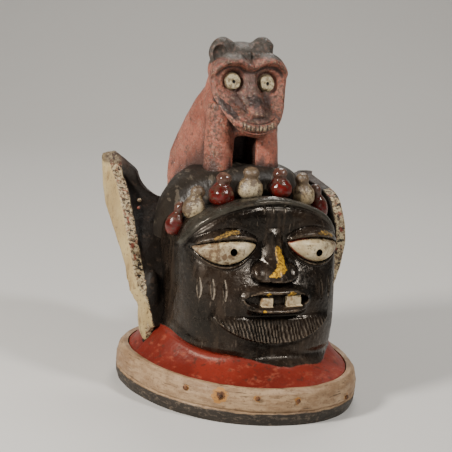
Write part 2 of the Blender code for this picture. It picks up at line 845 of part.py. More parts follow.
def ear_form(name, side, form, group, across, levels, voxel):
    item = solid(name, ear_mesh(name, side, form, across, levels), group)
    thicken = item.modifiers.new("thicken", "SOLIDIFY")
    thicken.thickness = EAR_THICK
    thicken.offset = -1.0
    apply_modifiers(item)
    work = bmesh.new()
    work.from_mesh(item.data)
    heel = (side * (form["front_x"][0][1] - EAR_HEEL_RADIUS * 0.25), EAR_HEEL_Y, EAR_HEEL_HEIGHT)
    work.from_mesh(ball("ear_heel", heel, (EAR_HEEL_RADIUS, EAR_HEEL_RADIUS, EAR_HEEL_HEIGHT * 0.46)))
    work.to_mesh(item.data)
    work.free()
    blend(item, voxel, 2)
    return item


def blend(item, voxel, passes):
    """Run overlapping forms together into one skin and soften it."""
    remesh = item.modifiers.new("blend", "REMESH")
    remesh.mode = "VOXEL"
    remesh.voxel_size = voxel
    soften = item.modifiers.new("soften", "SMOOTH")
    soften.iterations = passes
    soften.factor = 0.5
    apply_modifiers(item)


def ball(name, place, radii, turn=0.0, segments=24, ring_count=14):
    mesh = bpy.data.meshes.new(name)
    work = bmesh.new()
    bmesh.ops.create_uvsphere(work, u_segments=segments, v_segments=ring_count, radius=1.0)
    size = Matrix.Diagonal((*radii, 1.0))
    spin = Matrix.Rotation(np.radians(turn), 4, "X")
    bmesh.ops.transform(work, matrix=Matrix.Translation(Vector(place)) @ spin @ size, verts=work.verts[:])
    work.to_mesh(mesh)
    work.free()
    return mesh


def beast_body_mesh(columns, rows):
    """Back and flanks, falling from the shoulders to the rump."""
    angle = np.linspace(0, 2 * np.pi, columns + 1)[:-1]
    rings = []
    foot = BACK_FOOT
    for y in np.linspace(0.012, BACK_TOP_LINE[-1][0], rows):
        top = eased(BACK_TOP_LINE, np.array(y))
        width = BODY_HALF_WIDTH * (0.87 + 0.13 * smooth_step(0.02, 0.07, y))
        middle = (top + foot) / 2
        reach = outline(angle, width, (top - foot) / 2, (top - foot) / 2, 3.2, 3.2)
        across, height = reach * np.sin(angle), middle - reach * np.cos(angle)
        rings.append(np.column_stack([across, np.full(columns, y), height]))
    return loft("beast_body", np.array(rings), (0, 0.006, 0.22), (0, BACK_TOP_LINE[-1][0] + 0.006, 0.200))


def post(name, foot, top, radii, taper):
    """Rounded post from one place up to another, thinner at the top."""
    mesh = bpy.data.meshes.new(name)
    work = bmesh.new()
    bmesh.ops.create_cone(work, cap_ends=True, segments=24, radius1=1.0, radius2=taper, depth=1.0)
    for vertex in work.verts:
        share = vertex.co.z + 0.5
        place = Vector(foot).lerp(Vector(top), share)
        vertex.co = place + Vector((vertex.co.x * radii[0], vertex.co.y * radii[1], 0.0))
    work.to_mesh(mesh)
    work.free()
    return mesh


def beast_plane(z):
    return eased(BEAST_PLANE, z - CHIN_HEIGHT)


def beast_relief(x, z):
    """How far brows, snout, muzzle and eyes stand out of the plane of the animal's face."""
    a = np.abs(x)
    up = z - CHIN_HEIGHT
    crest = eased(BROW_LINE, a)
    brow = BROW_PROJECTION * round_hill((up - crest) / BROW_HALF_WIDTH)
    brow = brow * (1 - 0.6 * smooth_step(0.020, 0.041, a))
    half = eased(SNOUT_HALF_WIDTH, up)
    snout = eased(SNOUT_PROJECTION, up) * np.clip(1 - (a / half) ** 2.2, 0.0, 1.0) ** 0.7
    snout = snout * smooth_step(0.0130, 0.0250, up) * (1 - smooth_step(0.0595, 0.0685, up))
    cheek = CHEEK_HOLLOW * round_hill((a - half - 0.0030) / 0.0080)
    cheek = cheek * smooth_step(0.0225, 0.0290, up) * (1 - smooth_step(0.0400, 0.0480, up))
    spread = np.hypot(x / MUZZLE_HALF_WIDTH, (z - MUZZLE_HEIGHT) / MUZZLE_HALF_HEIGHT)
    muzzle = MUZZLE_PROJECTION * np.clip(1 - spread**2, 0.0, 1.0) ** 1.4
    eye = np.hypot(a - BEAST_EYE_OFFSET, z - BEAST_EYE_HEIGHT - BEAST_EYE_STEP * (x > 0))
    disc = BEAST_EYE_PROJECTION * (1 - smooth_step(BEAST_EYE_RADIUS * 0.8, BEAST_EYE_RADIUS * 1.08, eye))
    socket = SOCKET_DEPTH * (1 - smooth_step(SOCKET_RADIUS * 0.6, SOCKET_RADIUS, eye))
    open_eye = (disc - socket) * (1 - smooth_step(0.0, BROW_PROJECTION * 0.6, brow))
    return brow + open_eye + np.maximum(snout, muzzle) - cheek


def beast_face_mesh(columns, rows):
    """Shield-shaped face: rings spread from its centre to its outline, then go back behind it."""
    half = np.array(BEAST_OUTLINE)
    x = np.concatenate([half[:, 0], -half[-2:0:-1, 0]])
    z = np.concatenate([half[:, 1], half[-2:0:-1, 1]]) + CHIN_HEIGHT - BEAST_CENTRE_HEIGHT
    turn = np.unwrap(np.arctan2(x, -z))
    angle = np.linspace(0, 2 * np.pi, columns + 1)[:-1]
    far = np.hypot(x, z)
    reach = np.interp(angle, np.append(turn, turn[0] + 2 * np.pi), np.append(far, far[0]))
    rings = []
    for share in np.linspace(1.0 / rows, 1.0, rows):
        across = share * reach * np.sin(angle)
        height = BEAST_CENTRE_HEIGHT - share * reach * np.cos(angle)
        edge = 0.003 * smooth_step(0.88, 1.0, share)
        front = beast_plane(height) - beast_relief(across, height) + edge
        rings.append(np.column_stack([across, front, height]))
    for share, depth in ((0.97, 0.4), (0.85, 1.0)):
        across = share * reach * np.sin(angle)
        height = BEAST_CENTRE_HEIGHT - share * reach * np.cos(angle)
        rings.append(np.column_stack([across, beast_plane(height) + BEAST_FACE_THICK * depth, height]))
    middle = np.array(BEAST_CENTRE_HEIGHT)
    plane = float(beast_plane(middle))
    front = (0.0, plane - float(beast_relief(np.array(0.0), middle)), BEAST_CENTRE_HEIGHT)
    return loft("beast_face", np.array(rings), front, (0.0, plane + BEAST_FACE_THICK, BEAST_CENTRE_HEIGHT))


def beast_forms():
    forms = [beast_body_mesh(28, 14), beast_face_mesh(64, 32)]
    for (start, end), lean in zip(LEG_SPANS, LEG_LEANS):
        middle = (start + end) / 2
        foot = (middle, LEG_Y, LEG_FOOT)
        top = (middle + lean, LEG_Y, LEG_TOP)
        forms.append(post("leg", foot, top, ((end - start) / 2, LEG_HALF_DEPTH), LEG_TAPER))
    for name, (x, y, up), radii, turn in BEAST_FORMS:
        forms.append(ball(name, (x, y, CHIN_HEIGHT + up), radii, turn))
    return forms


def beast_mesh(group, triangles, voxel):
    joined = bpy.data.meshes.new("beast")
    work = bmesh.new()
    for form in beast_forms():
        work.from_mesh(form)
    work.to_mesh(joined)
    work.free()
    item = solid("beast", joined, group)
    blend(item, voxel, 1)
    low, high = (-LEG_GAP_HALF, -0.040, LEG_FOOT - 0.020), (LEG_GAP_HALF, LEG_GAP_DEPTH, LEG_GAP_TOP)
    gap = box("leg_gap", low, high)
    boolean(item, cutter("leg_gap", gap, group), "DIFFERENCE")
    thin_out(item, triangles)
    return item


def box(name, low, high):
    mesh = bpy.data.meshes.new(name)
    work = bmesh.new()
    bmesh.ops.create_cube(work, size=1.0)
    low, high = Vector(low), Vector(high)
    size = Matrix.Diagonal((*(high - low), 1.0))
    bmesh.ops.transform(work, matrix=Matrix.Translation((low + high) / 2) @ size, verts=work.verts[:])
    work.to_mesh(mesh)
    work.free()
    return mesh


def rod(name, start, end, radius, sides):
    """Straight rod between two points."""
    mesh = bpy.data.meshes.new(name)
    work = bmesh.new()
    start, end = Vector(start), Vector(end)
    length = (end - start).length
    bmesh.ops.create_cone(work, cap_ends=True, segments=sides, radius1=radius, radius2=radius, depth=length)
    aim = (end - start).to_track_quat("Z", "Y").to_matrix().to_4x4()
    bmesh.ops.transform(work, matrix=Matrix.Translation((start + end) / 2) @ aim, verts=work.verts[:])
    work.to_mesh(mesh)
    work.free()
    return mesh


def rim_point(angle, inset, height):
    """Point of the rim line, moved in from the outside of the hoop."""
    width = HOOP_HALF_WIDTH - inset
    front = HOOP_FRONT - inset
    back = HOOP_BACK - inset
    reach = float(outline(np.array(angle), width, front, back, HOOP_POWER, HOOP_POWER))
    return Vector((reach * np.sin(angle), -reach * np.cos(angle), height))


def hoop_mesh(steps):
    """Rounded hoop: its section carried round the rim."""
    angle = np.linspace(0, 2 * np.pi, steps + 1)[:-1]
    high = HOOP_HEIGHT
    section = (
        (HOOP_THICK, 0.0),
        (0.003, 0.0),
        (0.0008, 0.006),
        (0.0002, GROOVE_HEIGHT - 0.002),
        (0.0002 + GROOVE_DEPTH, GROOVE_HEIGHT),
        (0.0, GROOVE_HEIGHT + 0.002),
        (0.0, 0.024),
        (0.0018, high - 0.005),
        (0.0060, high),
        (HOOP_THICK, high - 0.0006),
    )
    rings = []
    for inset, height in section:
        rings.append(np.array([rim_point(turn, inset, height) for turn in angle]))
    points = np.array(rings).reshape(-1, 3)
    count = len(section)
    faces = []
    for k in range(count):
        for i in range(steps):
            j = (i + 1) % steps
            m = (k + 1) % count
            faces.append((k * steps + i, k * steps + j, m * steps + j, m * steps + i))
    mesh = bpy.data.meshes.new("rim_hoop")
    mesh.from_pydata([tuple(p) for p in points], [], faces)
    return face_outward(mesh)


def parts_low(parts, axis):
    return min(v.co[axis] for item in parts.objects for v in item.data.vertices)


def parts_high(parts, axis):
    return max(v.co[axis] for item in parts.objects for v in item.data.vertices)


def build():
    clear_scene()
    parts = new_collection(OBJECT_NAME)
    cutters = new_collection("cutters")
    dark = paint("dark_paint", (0.030, 0.022, 0.018), 0.35)
    cream = paint("cream_paint", (0.56, 0.43, 0.30), 0.6)
    iron = paint("iron", (0.20, 0.11, 0.07), 0.7, 0.6)

    mask = solid("mask", head_mesh(HEAD_COLUMNS, HEAD_ROWS, 0.45), parts)
    thin_out(mask, HEAD_TRIANGLES)
    boolean(mask, cutter("hair_dome", dome_mesh(30, 10), cutters), "UNION")
    for step in KNOB_STEPS:
        boolean(mask, cutter(f"knob_{step + 4}", knob_mesh(step, KNOB_SIDES), cutters), "UNION")
    for name, side, form in (("right_ear", -1, RIGHT_EAR), ("left_ear", 1, LEFT_EAR)):
        ear = ear_form(name, side, form, cutters, 6, EAR_LEVELS, EAR_VOXEL)
        thin_out(ear, EAR_TRIANGLES)
        ear.hide_render = True
        ear.display_type = "WIRE"
        boolean(mask, ear, "UNION")
    beast = beast_mesh(cutters, BEAST_TRIANGLES, BEAST_VOXEL)
    beast.hide_render = True
    beast.display_type = "WIRE"
    boolean(mask, beast, "UNION")
    for number, stroke in enumerate(beard_strokes(), start=1):
        boolean(mask, cutter(f"beard_stroke_{number}", stroke, cutters), "DIFFERENCE")
    for side in (-1, 1):
        for number, offset in enumerate(CHEEK_CUTS, start=1):
            cut = ball(
                "cheek_cut",
                face_point(side * offset, CHEEK_CUT_HEIGHT, 0.0),
                (CHEEK_CUT_WIDTH / 2, CHEEK_CUT_DEPTH, CHEEK_CUT_LENGTH / 2),
                segments=6,
                ring_count=4,
            )
            boolean(mask, cutter(f"cheek_cut_{side}_{number}", cut, cutters), "DIFFERENCE")
    for offset, height in PUPILS:
        pupil = rod("pupil", (offset, -0.095, height), (offset, -0.035, height), PUPIL_RADIUS, 8)
        boolean(mask, cutter("pupil", pupil, cutters), "DIFFERENCE")
    boolean(mask, cutter("hollow", hollow_mesh(HOLLOW_COLUMNS, HOLLOW_ROWS), cutters), "DIFFERENCE")
    mask.data.materials.clear()
    mask.data.materials.append(dark)

    hoop = solid("rim_hoop", hoop_mesh(HOOP_STEPS), parts)
    hoop.data.materials.append(cream)

    for number, (turn, height) in enumerate(NAIL_SPOTS, start=1):
        angle = np.radians(turn)
        outside = rim_point(angle, 0.0, height)
        inside = rim_point(angle, HOOP_THICK + NAIL_BITE, height)
        way = (inside - outside).normalized()
        hole = cutter(
            f"nail_hole_{number}",
            rod("hole", outside - way * 0.004, inside + way * TOUCH_GAP, NAIL_RADIUS + TOUCH_GAP, NAIL_SIDES),
            cutters,
        )
        boolean(hoop, hole, "DIFFERENCE")
        boolean(mask, hole, "DIFFERENCE")
        seat = outside - way * TOUCH_GAP * 3
        shank = rod("shank", seat - way * 0.0004, inside, NAIL_RADIUS, NAIL_SIDES)
        nail = solid(f"nail_{number}", shank, parts)
        head = cutter(
            f"nail_head_{number}",
            rod("head", seat - way * NAIL_HEAD_THICK, seat, NAIL_HEAD_RADIUS, NAIL_SIDES),
            cutters,
        )
        boolean(nail, head, "UNION")
        nail.data.materials.clear()
        nail.data.materials.append(iron)

    centre = (parts_low(parts, 1) + parts_high(parts, 1)) / 2
    for item in parts.objects:
        item.data.transform(Matrix.Translation((0.0, -centre, 0.0)))
        item.data.shade_smooth()
        item.data.set_sharp_from_angle(angle=np.radians(35))


build()
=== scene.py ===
"""Gelede mask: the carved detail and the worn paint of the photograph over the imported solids.

The same named sizes and shape functions as the solids are used at a finer step. Each paint zone is a
signed distance, in millimetres, kept on the vertices and sharpened in the material.
"""

import bmesh
import bpy
import numpy as np
from mathutils import Matrix, Vector, noise


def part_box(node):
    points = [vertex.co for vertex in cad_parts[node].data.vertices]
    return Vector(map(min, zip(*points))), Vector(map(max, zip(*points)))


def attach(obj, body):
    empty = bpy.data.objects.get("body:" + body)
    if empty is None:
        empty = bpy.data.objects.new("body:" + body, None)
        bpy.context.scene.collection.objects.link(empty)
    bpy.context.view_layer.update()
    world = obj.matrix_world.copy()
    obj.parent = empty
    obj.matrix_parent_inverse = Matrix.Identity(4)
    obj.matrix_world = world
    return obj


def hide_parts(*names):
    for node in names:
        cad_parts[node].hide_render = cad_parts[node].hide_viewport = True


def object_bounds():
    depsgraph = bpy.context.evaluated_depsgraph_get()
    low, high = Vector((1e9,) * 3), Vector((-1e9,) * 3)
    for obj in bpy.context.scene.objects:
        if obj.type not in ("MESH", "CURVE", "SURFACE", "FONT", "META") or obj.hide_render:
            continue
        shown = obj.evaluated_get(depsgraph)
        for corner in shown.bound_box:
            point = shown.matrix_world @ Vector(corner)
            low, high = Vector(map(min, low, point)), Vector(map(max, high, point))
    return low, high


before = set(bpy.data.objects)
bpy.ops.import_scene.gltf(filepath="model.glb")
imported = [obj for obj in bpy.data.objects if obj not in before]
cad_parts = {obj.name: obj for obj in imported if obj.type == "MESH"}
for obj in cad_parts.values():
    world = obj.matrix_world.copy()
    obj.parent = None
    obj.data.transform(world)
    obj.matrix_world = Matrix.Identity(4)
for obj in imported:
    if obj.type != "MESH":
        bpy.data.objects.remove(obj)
CAD_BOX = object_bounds()

# Gap between pieces that touch, margin kept inside the solids' box, millimetres in a metre, and a
# zone's value away from its own surface
TOUCH_GAP = 0.0003
BOX_MARGIN = 0.00001
MM = 1000
OUTSIDE = -9.0

# Rim hoop and the foot of the collar inside it
HOOP_HALF_WIDTH = 0.1205
HOOP_FRONT = 0.147
HOOP_BACK = 0.115
HOOP_HEIGHT = 0.037
HOOP_THICK = 0.011
HOOP_GAP = 0.0011
HOOP_POWER = 2.15
GROOVE_HEIGHT = 0.014
GROOVE_DEPTH = 0.0016
FOOT_WALL = 0.016
FOOT_HEIGHT = 0.036
FOOT_HALF_WIDTH = HOOP_HALF_WIDTH - HOOP_THICK - HOOP_GAP
FOOT_FRONT = HOOP_FRONT - HOOP_THICK - HOOP_GAP
FOOT_BACK = HOOP_BACK - HOOP_THICK - HOOP_GAP

# Nails through the hoop into the foot: turning angle from the face and height
NAIL_SPOTS = (
    (-29.3, 0.028), (-44.3, 0.029), (-14.5, 0.029), (2.0, 0.026), (30.3, 0.019), (-146.0, 0.027),
    (124.0, 0.027), (176.0, 0.027),
)
NAIL_RADIUS = 0.0013
NAIL_HEAD_RADIUS = 0.0026
NAIL_HEAD_THICK = 0.0012
NAIL_BITE = 0.008
NAIL_SIDES = 6

# Outline of a nail's head, as shares of its radius and thickness, and how far the rust spreads round
# each nail: the first one has a wide halo
NAIL_HEAD_SHARES = ((0.93, 0.0), (1.0, 0.25), (0.90, 0.60), (0.55, 0.92), (0.0, 1.0))
RUST_REACHES = (0.0084,) + (0.0036,) * 7

# Heights up the face
NECK_LINE = 0.048
NECK_RISE = 0.012
BEARD_TOP = 0.095
MOUTH_HEIGHT = 0.1143
NOSE_BASE = 0.132
NOSE_TIP = 0.139
EYE_HEIGHT = 0.1625
BRIDGE_HEIGHT = 0.174
VAULT_SPRING = 0.1605
VAULT_RISE = 0.052
VAULT_TOP = VAULT_SPRING + VAULT_RISE
VAULT_FALL = 0.22

# Head shell and the hollow inside it: half widths, reaches to the front and the back, heights
HEAD_HALF_WIDTH = 0.085
HEAD_CENTRE = -0.010
NECK_HALF_WIDTH = 0.0915
NECK_FRONT = 0.112
NECK_BACK = 0.098
NECK_LEDGE = 0.0016
WALL = 0.016
HOLLOW_FOOT = -0.010
HOLLOW_SPRING = 0.130
HOLLOW_RISE = 0.058

# Head shell from the foot to the top of the vault, as (height, size)
WIDTH_LINE = (
    (FOOT_HEIGHT, FOOT_HALF_WIDTH), (NECK_LINE, NECK_HALF_WIDTH), (0.060, 0.0875),
    (0.074, HEAD_HALF_WIDTH), (VAULT_SPRING, HEAD_HALF_WIDTH),
)
FRONT_LINE = (
    (FOOT_HEIGHT, FOOT_FRONT), (NECK_LINE, NECK_FRONT), (0.057, 0.0975), (0.064, 0.0965),
    (0.080, 0.0935), (0.104, 0.0895), (0.122, 0.0860), (0.137, 0.0780), (0.152, 0.0700),
    (0.170, 0.0660), (0.190, 0.0660), (0.206, 0.0610), (0.2125, 0.0570),
)
BACK_LINE = (
    (FOOT_HEIGHT, FOOT_BACK), (NECK_LINE, NECK_BACK), (0.070, 0.099), (0.150, 0.106), (0.190, 0.094),
    (0.2125, 0.070),
)
SQUARE_LINE = (
    (FOOT_HEIGHT, HOOP_POWER), (NECK_LINE, 1.9), (0.066, 2.8), (0.090, 3.3), (0.120, 3.3),
    (0.155, 4.0), (0.2125, 3.6),
)
SLIM_LINE = (
    (FOOT_HEIGHT, HOOP_POWER), (0.055, 1.9), (0.080, 1.7), (0.120, 1.8), (0.155, 2.2), (0.2125, 2.2),
)
CENTRE_LINE = ((FOOT_HEIGHT, 0.0), (0.066, HEAD_CENTRE), (0.2125, HEAD_CENTRE))

# Eyes
EYE_OFFSET = 0.0488
EYE_HALF_LENGTH = 0.0312
EYE_SLANT = -0.0026
EYE_STEP = 0.0012
EYE_RISE = 0.0078
EYE_DROP = 0.0165
EYE_BULGE = 0.0125
LID_WIDTH = 0.0062
LID_SWELL = 0.0032
LID_HEIGHT = 0.0052
LID_MOUND = 0.011
LOWER_LID_WIDTH = 0.0035
LOWER_LID_HEIGHT = 0.0022
EYE_ARCH = 0.8
PUPILS = ((-0.0461, 0.1603), (0.0488, 0.1578))
PUPIL_RADIUS = 0.0033
PUPIL_REACH = (-0.095, -0.035)

# Nose
NOSE_PROJECTION = 0.0165
NOSE_SHIFT = 0.0010
NOSE_HALF_BRIDGE = 0.0098
NOSE_HALF_WIDTH = 0.0225
WING_OFFSET = 0.0172
WING_HALF_WIDTH = 0.0085
WING_PROJECTION = 0.0088
NOSE_WIDTH_LINE = (
    (NOSE_BASE, NOSE_HALF_WIDTH), (NOSE_TIP + 0.003, NOSE_HALF_WIDTH * 0.92), (0.154, 0.0140),
    (BRIDGE_HEIGHT, NOSE_HALF_BRIDGE),
)
NOSE_RISE_LINE = (
    (NOSE_BASE - 0.003, 0.0), (NOSE_BASE + 0.001, NOSE_PROJECTION * 0.94), (NOSE_TIP, NOSE_PROJECTION),
    (0.152, 0.0108), (0.165, 0.0066), (BRIDGE_HEIGHT, 0.0048), (BRIDGE_HEIGHT + 0.0075, 0.0),
)

# Mouth and beard
MOUTH_HALF_WIDTH = 0.0345
MOUTH_HALF_OPENING = 0.0062
LIP_HALF_HEIGHT = 0.0135
LIP_PROJECTION = 0.0072
LIP_ROLL = 0.0028
LIP_MOUND = 0.0035
LIP_MOUND_HALF_WIDTH = 0.058
LIP_MOUND_HALF_HEIGHT = 0.026
MOUTH_DEPTH = 0.009
TOOTH_DEPTH = 0.0036
TOOTH_SPANS = ((-0.0185, -0.0055), (0.0085, 0.0268))
BEARD_HALF_WIDTH = 0.064
BEARD_DROP = 0.024
BEARD_PROJECTION = 0.0065
BEARD_EDGE = 0.0018
BEARD_FINE_STROKES = 34
STROKE_DEPTH = 0.0014

# Three cuts on each cheek: offsets, height and size
CHEEK_CUTS = (0.053, 0.064, 0.0745)
CHEEK_CUT_HEIGHT = 0.1215
CHEEK_CUT_LENGTH = 0.021
CHEEK_CUT_WIDTH = 0.0042
CHEEK_CUT_DEPTH = 0.0026

# Brim of hair over the forehead
BRIM_HALF_WIDTH = 0.0052
BRIM_PROJECTION = 0.0052
BRIM_FADE = 0.65
BRIM_DROP = 0.0045

# Hair dome behind the knobs
DOME_TOP = 0.2285
DOME_FOOT = 0.150
DOME_FRONT = -0.021
DOME_BACK = 0.106
DOME_HALF_WIDTH = 0.0835
DOME_CENTRE = 0.030
DOME_SQUARE = 2.5
DOME_SLIM = 2.0
DOME_LEAN = 0.012

# Knobs
KNOB_STEPS = (-3, -2, -1, 0, 1, 2, 3)
KNOB_ANGLE = 24.0
KNOB_ARC_WIDTH = 0.083
KNOB_ARC_SHIFT = -0.0035
KNOB_ARC_BOW = 0.009
KNOB_ARC_FOOT = 0.1767
KNOB_ARC_RISE = 0.0463
KNOB_TILT = 0.105
KNOB_FORWARD = -0.011
KNOB_FORWARD_BOW = 0.019
KNOB_HEIGHT = 0.037
KNOB_RADIUS = 0.0142
KNOB_SHARES = (
    (0.66, 0.95), (0.78, 0.93), (0.94, 0.94), (0.91, 0.89), (0.85, 0.87), (0.70, 0.89), (0.64, 0.89),
)
KNOB_NUDGES = (0.0010, 0.0030, 0.0035, 0.0005, 0.0, -0.0010, 0.0)

# Ears: cupped wings beside the head
EAR_FOOT = 0.062
EAR_REACH = 0.1180
EAR_THICK = 0.0135
EAR_HEEL_RADIUS = 0.0118
EAR_HEEL_Y = 0.008
EAR_HEEL_HEIGHT = 0.083

# Each ear at its heights: free front edge, outer back corner and root on the head, as (height, place)
RIGHT_EAR = {
    "top": 0.218,
    "front_x": ((EAR_FOOT, 0.0985), (0.078, 0.103), (0.104, 0.1115), (0.130, 0.115), (0.218, 0.116)),
    "front_y": (
        (EAR_FOOT, 0.000), (0.085, 0.002), (0.104, 0.008), (0.130, 0.018), (0.157, 0.039),
        (0.182, 0.059), (0.199, 0.077), (0.207, 0.089), (0.218, 0.103),
    ),
    "back_x": (
        (EAR_FOOT, 0.1005), (0.078, 0.106), (0.100, 0.1165), (0.125, EAR_REACH), (0.218, EAR_REACH),
    ),
    "back_y": (
        (EAR_FOOT, 0.006), (0.078, 0.007), (0.100, 0.018), (0.125, 0.034), (0.150, 0.069),
        (0.173, 0.098), (0.192, 0.109), (0.218, 0.117),
    ),
    "root_x": (
        (EAR_FOOT, 0.080), (0.100, 0.076), (0.125, 0.070), (0.150, 0.062), (0.168, 0.052),
        (0.176, 0.058), (0.183, 0.068), (0.196, 0.080), (0.212, 0.090), (0.218, 0.104),
    ),
    "root_y": (
        (EAR_FOOT, 0.008), (0.100, 0.018), (0.125, 0.035), (0.150, 0.060), (0.168, 0.080),
        (0.183, 0.090), (0.212, 0.098), (0.218, 0.110),
    ),
}
LEFT_EAR = {
    "top": 0.2065,
    "front_x": ((EAR_FOOT, 0.0985), (0.078, 0.103), (0.104, 0.1125), (0.127, 0.1165), (0.2065, 0.1165)),
    "front_y": (
        (EAR_FOOT, 0.000), (0.085, 0.001), (0.104, 0.002), (0.127, -0.002), (0.150, -0.006),
        (0.171, 0.000), (0.183, 0.009), (0.193, 0.020), (0.199, 0.040), (0.204, 0.066),
        (0.2065, 0.084),
    ),
    "back_x": (
        (EAR_FOOT, 0.1005), (0.078, 0.106), (0.100, 0.1165), (0.125, EAR_REACH), (0.2065, EAR_REACH),
    ),
    "back_y": (
        (EAR_FOOT, 0.006), (0.078, 0.008), (0.100, 0.020), (0.125, 0.034), (0.150, 0.062),
        (0.171, 0.088), (0.190, 0.100), (0.2065, 0.106),
    ),
    "root_x": (
        (EAR_FOOT, 0.080), (0.100, 0.076), (0.125, 0.070), (0.150, 0.062), (0.168, 0.052),
        (0.176, 0.058), (0.186, 0.070), (0.198, 0.086), (0.2065, 0.102),
    ),
    "root_y": (
        (EAR_FOOT, 0.008), (0.100, 0.018), (0.125, 0.035), (0.150, 0.060), (0.168, 0.080),
        (0.186, 0.088), (0.2065, 0.098),
    ),
}

# Crouching animal
LEG_SPANS = ((-0.0435, -0.0130), (0.0105, 0.0400))
LEG_HALF_DEPTH = 0.017
LEG_FOOT = 0.210
LEG_TOP = 0.292
LEG_Y = 0.016
LEG_LEANS = (0.0, -0.005)
LEG_TAPER = 0.88
LEG_GAP_SPAN = (-0.0150, 0.0100)
LEG_GAP_TOP = 0.258
LEG_GAP_DEPTH = 0.040
BODY_HALF_WIDTH = 0.0415
BACK_FOOT = 0.160
RUMP_END = HOOP_BACK + 0.002
BACK_TOP_LINE = (
    (0.008, 0.296), (0.040, 0.320), (0.063, 0.310), (0.077, 0.297), (0.093, 0.277), (0.105, 0.260),
    (RUMP_END, 0.241),
)

# The animal's face. Heights are taken from its chin: half outline as (offset, height), and how far
# forward its plane stands, as (height, reach)
CHIN_HEIGHT = 0.2615
BEAST_CENTRE_HEIGHT = CHIN_HEIGHT + 0.0415
BEAST_OUTLINE = (
    (0.0, 0.0), (0.008, 0.0010), (0.015, 0.0045), (0.021, 0.0090), (0.0275, 0.0155), (0.033, 0.0235),
    (0.0385, 0.0345), (0.0412, 0.0455), (0.0428, 0.0575), (0.0418, 0.0675), (0.0360, 0.0755),
    (0.027, 0.0810), (0.017, 0.0840), (0.008, 0.0845), (0.0, 0.0840),
)
BEAST_PLANE = (
    (0.0005, -0.0075), (0.0115, -0.0075), (0.0185, -0.0050), (0.0265, 0.0015), (0.0345, 0.0090),
    (0.0455, 0.0150), (0.0575, 0.0180), (0.0845, 0.0200),
)
BEAST_FACE_THICK = 0.020
BROW_LINE = (
    (0.0, 0.0690), (0.006, 0.0705), (0.014, 0.0745), (0.024, 0.0748), (0.034, 0.0700), (0.042, 0.0628),
)
BROW_HALF_WIDTH = 0.0080
BROW_PROJECTION = 0.0098
SNOUT_HALF_WIDTH = (
    (0.0150, 0.0150), (0.0225, 0.0125), (0.0290, 0.0125), (0.0360, 0.0140), (0.0420, 0.0145),
    (0.0500, 0.0095), (0.0605, 0.0070),
)
SNOUT_PROJECTION = (
    (0.0120, 0.0060), (0.0205, 0.0095), (0.0265, 0.0120), (0.0345, 0.0110), (0.0455, 0.0060),
    (0.0625, 0.0025),
)
CHEEK_HOLLOW = 0.0028
MUZZLE_HALF_WIDTH = 0.034
MUZZLE_HALF_HEIGHT = 0.022
MUZZLE_HEIGHT = CHIN_HEIGHT + 0.013
MUZZLE_PROJECTION = 0.0068
BEAST_EYE_OFFSET = 0.019
BEAST_EYE_HEIGHT = CHIN_HEIGHT + 0.0533
BEAST_EYE_STEP = -0.0016
BEAST_EYE_RADIUS = 0.0088
BEAST_EYE_PROJECTION = 0.0056
SOCKET_RADIUS = 0.0140
SOCKET_DEPTH = 0.0034

# Rounded forms that carry the animal's face: name, place (height from the chin), half sizes and turn
# about the X axis
BEAST_FORMS = (
    ("right_shoulder", (-0.022, 0.032, 0.0235), (0.018, 0.024, 0.028), 0),
    ("left_shoulder", (0.020, 0.032, 0.0235), (0.016, 0.024, 0.028), 0),
    ("right_ear", (-0.0222, 0.040, 0.0775), (0.0160, 0.0095, 0.0182), -12),
    ("left_ear", (0.0215, 0.040, 0.0790), (0.0146, 0.0098, 0.0178), -12),
    ("skull", (0.0, 0.046, 0.0605), (0.0340, 0.024, 0.0295), 0),
    ("neck", (0.0, 0.046, 0.0385), (0.0345, 0.026, 0.034), -15),
    ("throat", (0.0, 0.022, 0.0205), (0.026, 0.022, 0.024), -25),
)

# Marks on the face, and the dark patch on the animal's cheek, as outlines of (offset, height). The
# nicks over the brow have a length too, and the spots of ochre a radius
NICKS = ((-0.0098, 0.2000, 0.008), (0.0000, 0.2005, 0.008), (0.0133, 0.2005, 0.008))
NICK_WIDTH = 0.0030
NICK_DEPTH = 0.0011
RIGHT_LID_WORN = (
    (-0.0650, 0.1725), (-0.0560, 0.1765), (-0.0460, 0.1795), (-0.0370, 0.1792), (-0.0360, 0.1768),
    (-0.0460, 0.1764), (-0.0560, 0.1738), (-0.0635, 0.1704),
)
LEFT_LID_WORN = (
    (0.0470, 0.1765), (0.0540, 0.1785), (0.0620, 0.1770), (0.0700, 0.1730), (0.0690, 0.1706),
    (0.0600, 0.1736), (0.0520, 0.1748),
)
GOLD_STREAK = (
    (0.0029, 0.1654), (0.0093, 0.1611), (0.0088, 0.1558), (0.0121, 0.1524), (0.0105, 0.1477),
    (0.0105, 0.1429), (0.0076, 0.1405), (0.0030, 0.1392), (-0.0029, 0.1378), (-0.0105, 0.1366),
    (-0.0109, 0.1380), (-0.0074, 0.1397), (-0.0040, 0.1423), (-0.0028, 0.1464), (0.0003, 0.1506),
    (0.0000, 0.1550), (0.0002, 0.1603),
)
GOLD_SPOTS = ((-0.0119, 0.1204, 0.0022), (0.0136, 0.1197, 0.0032), (-0.0174, 0.1047, 0.0016))
CHEEK_PATCH = (
    (-0.0375, 0.3012), (-0.0328, 0.2987), (-0.0265, 0.2934), (-0.0208, 0.2874), (-0.0189, 0.2816),
    (-0.0263, 0.2810), (-0.0333, 0.2860), (-0.0380, 0.2938),
)

# Tops of the mask's two teeth over the middle of the mouth, and the slant of the collar's upper edge
TOOTH_TOPS = (0.0022, 0.0040)
NECK_SLANT = 0.0095

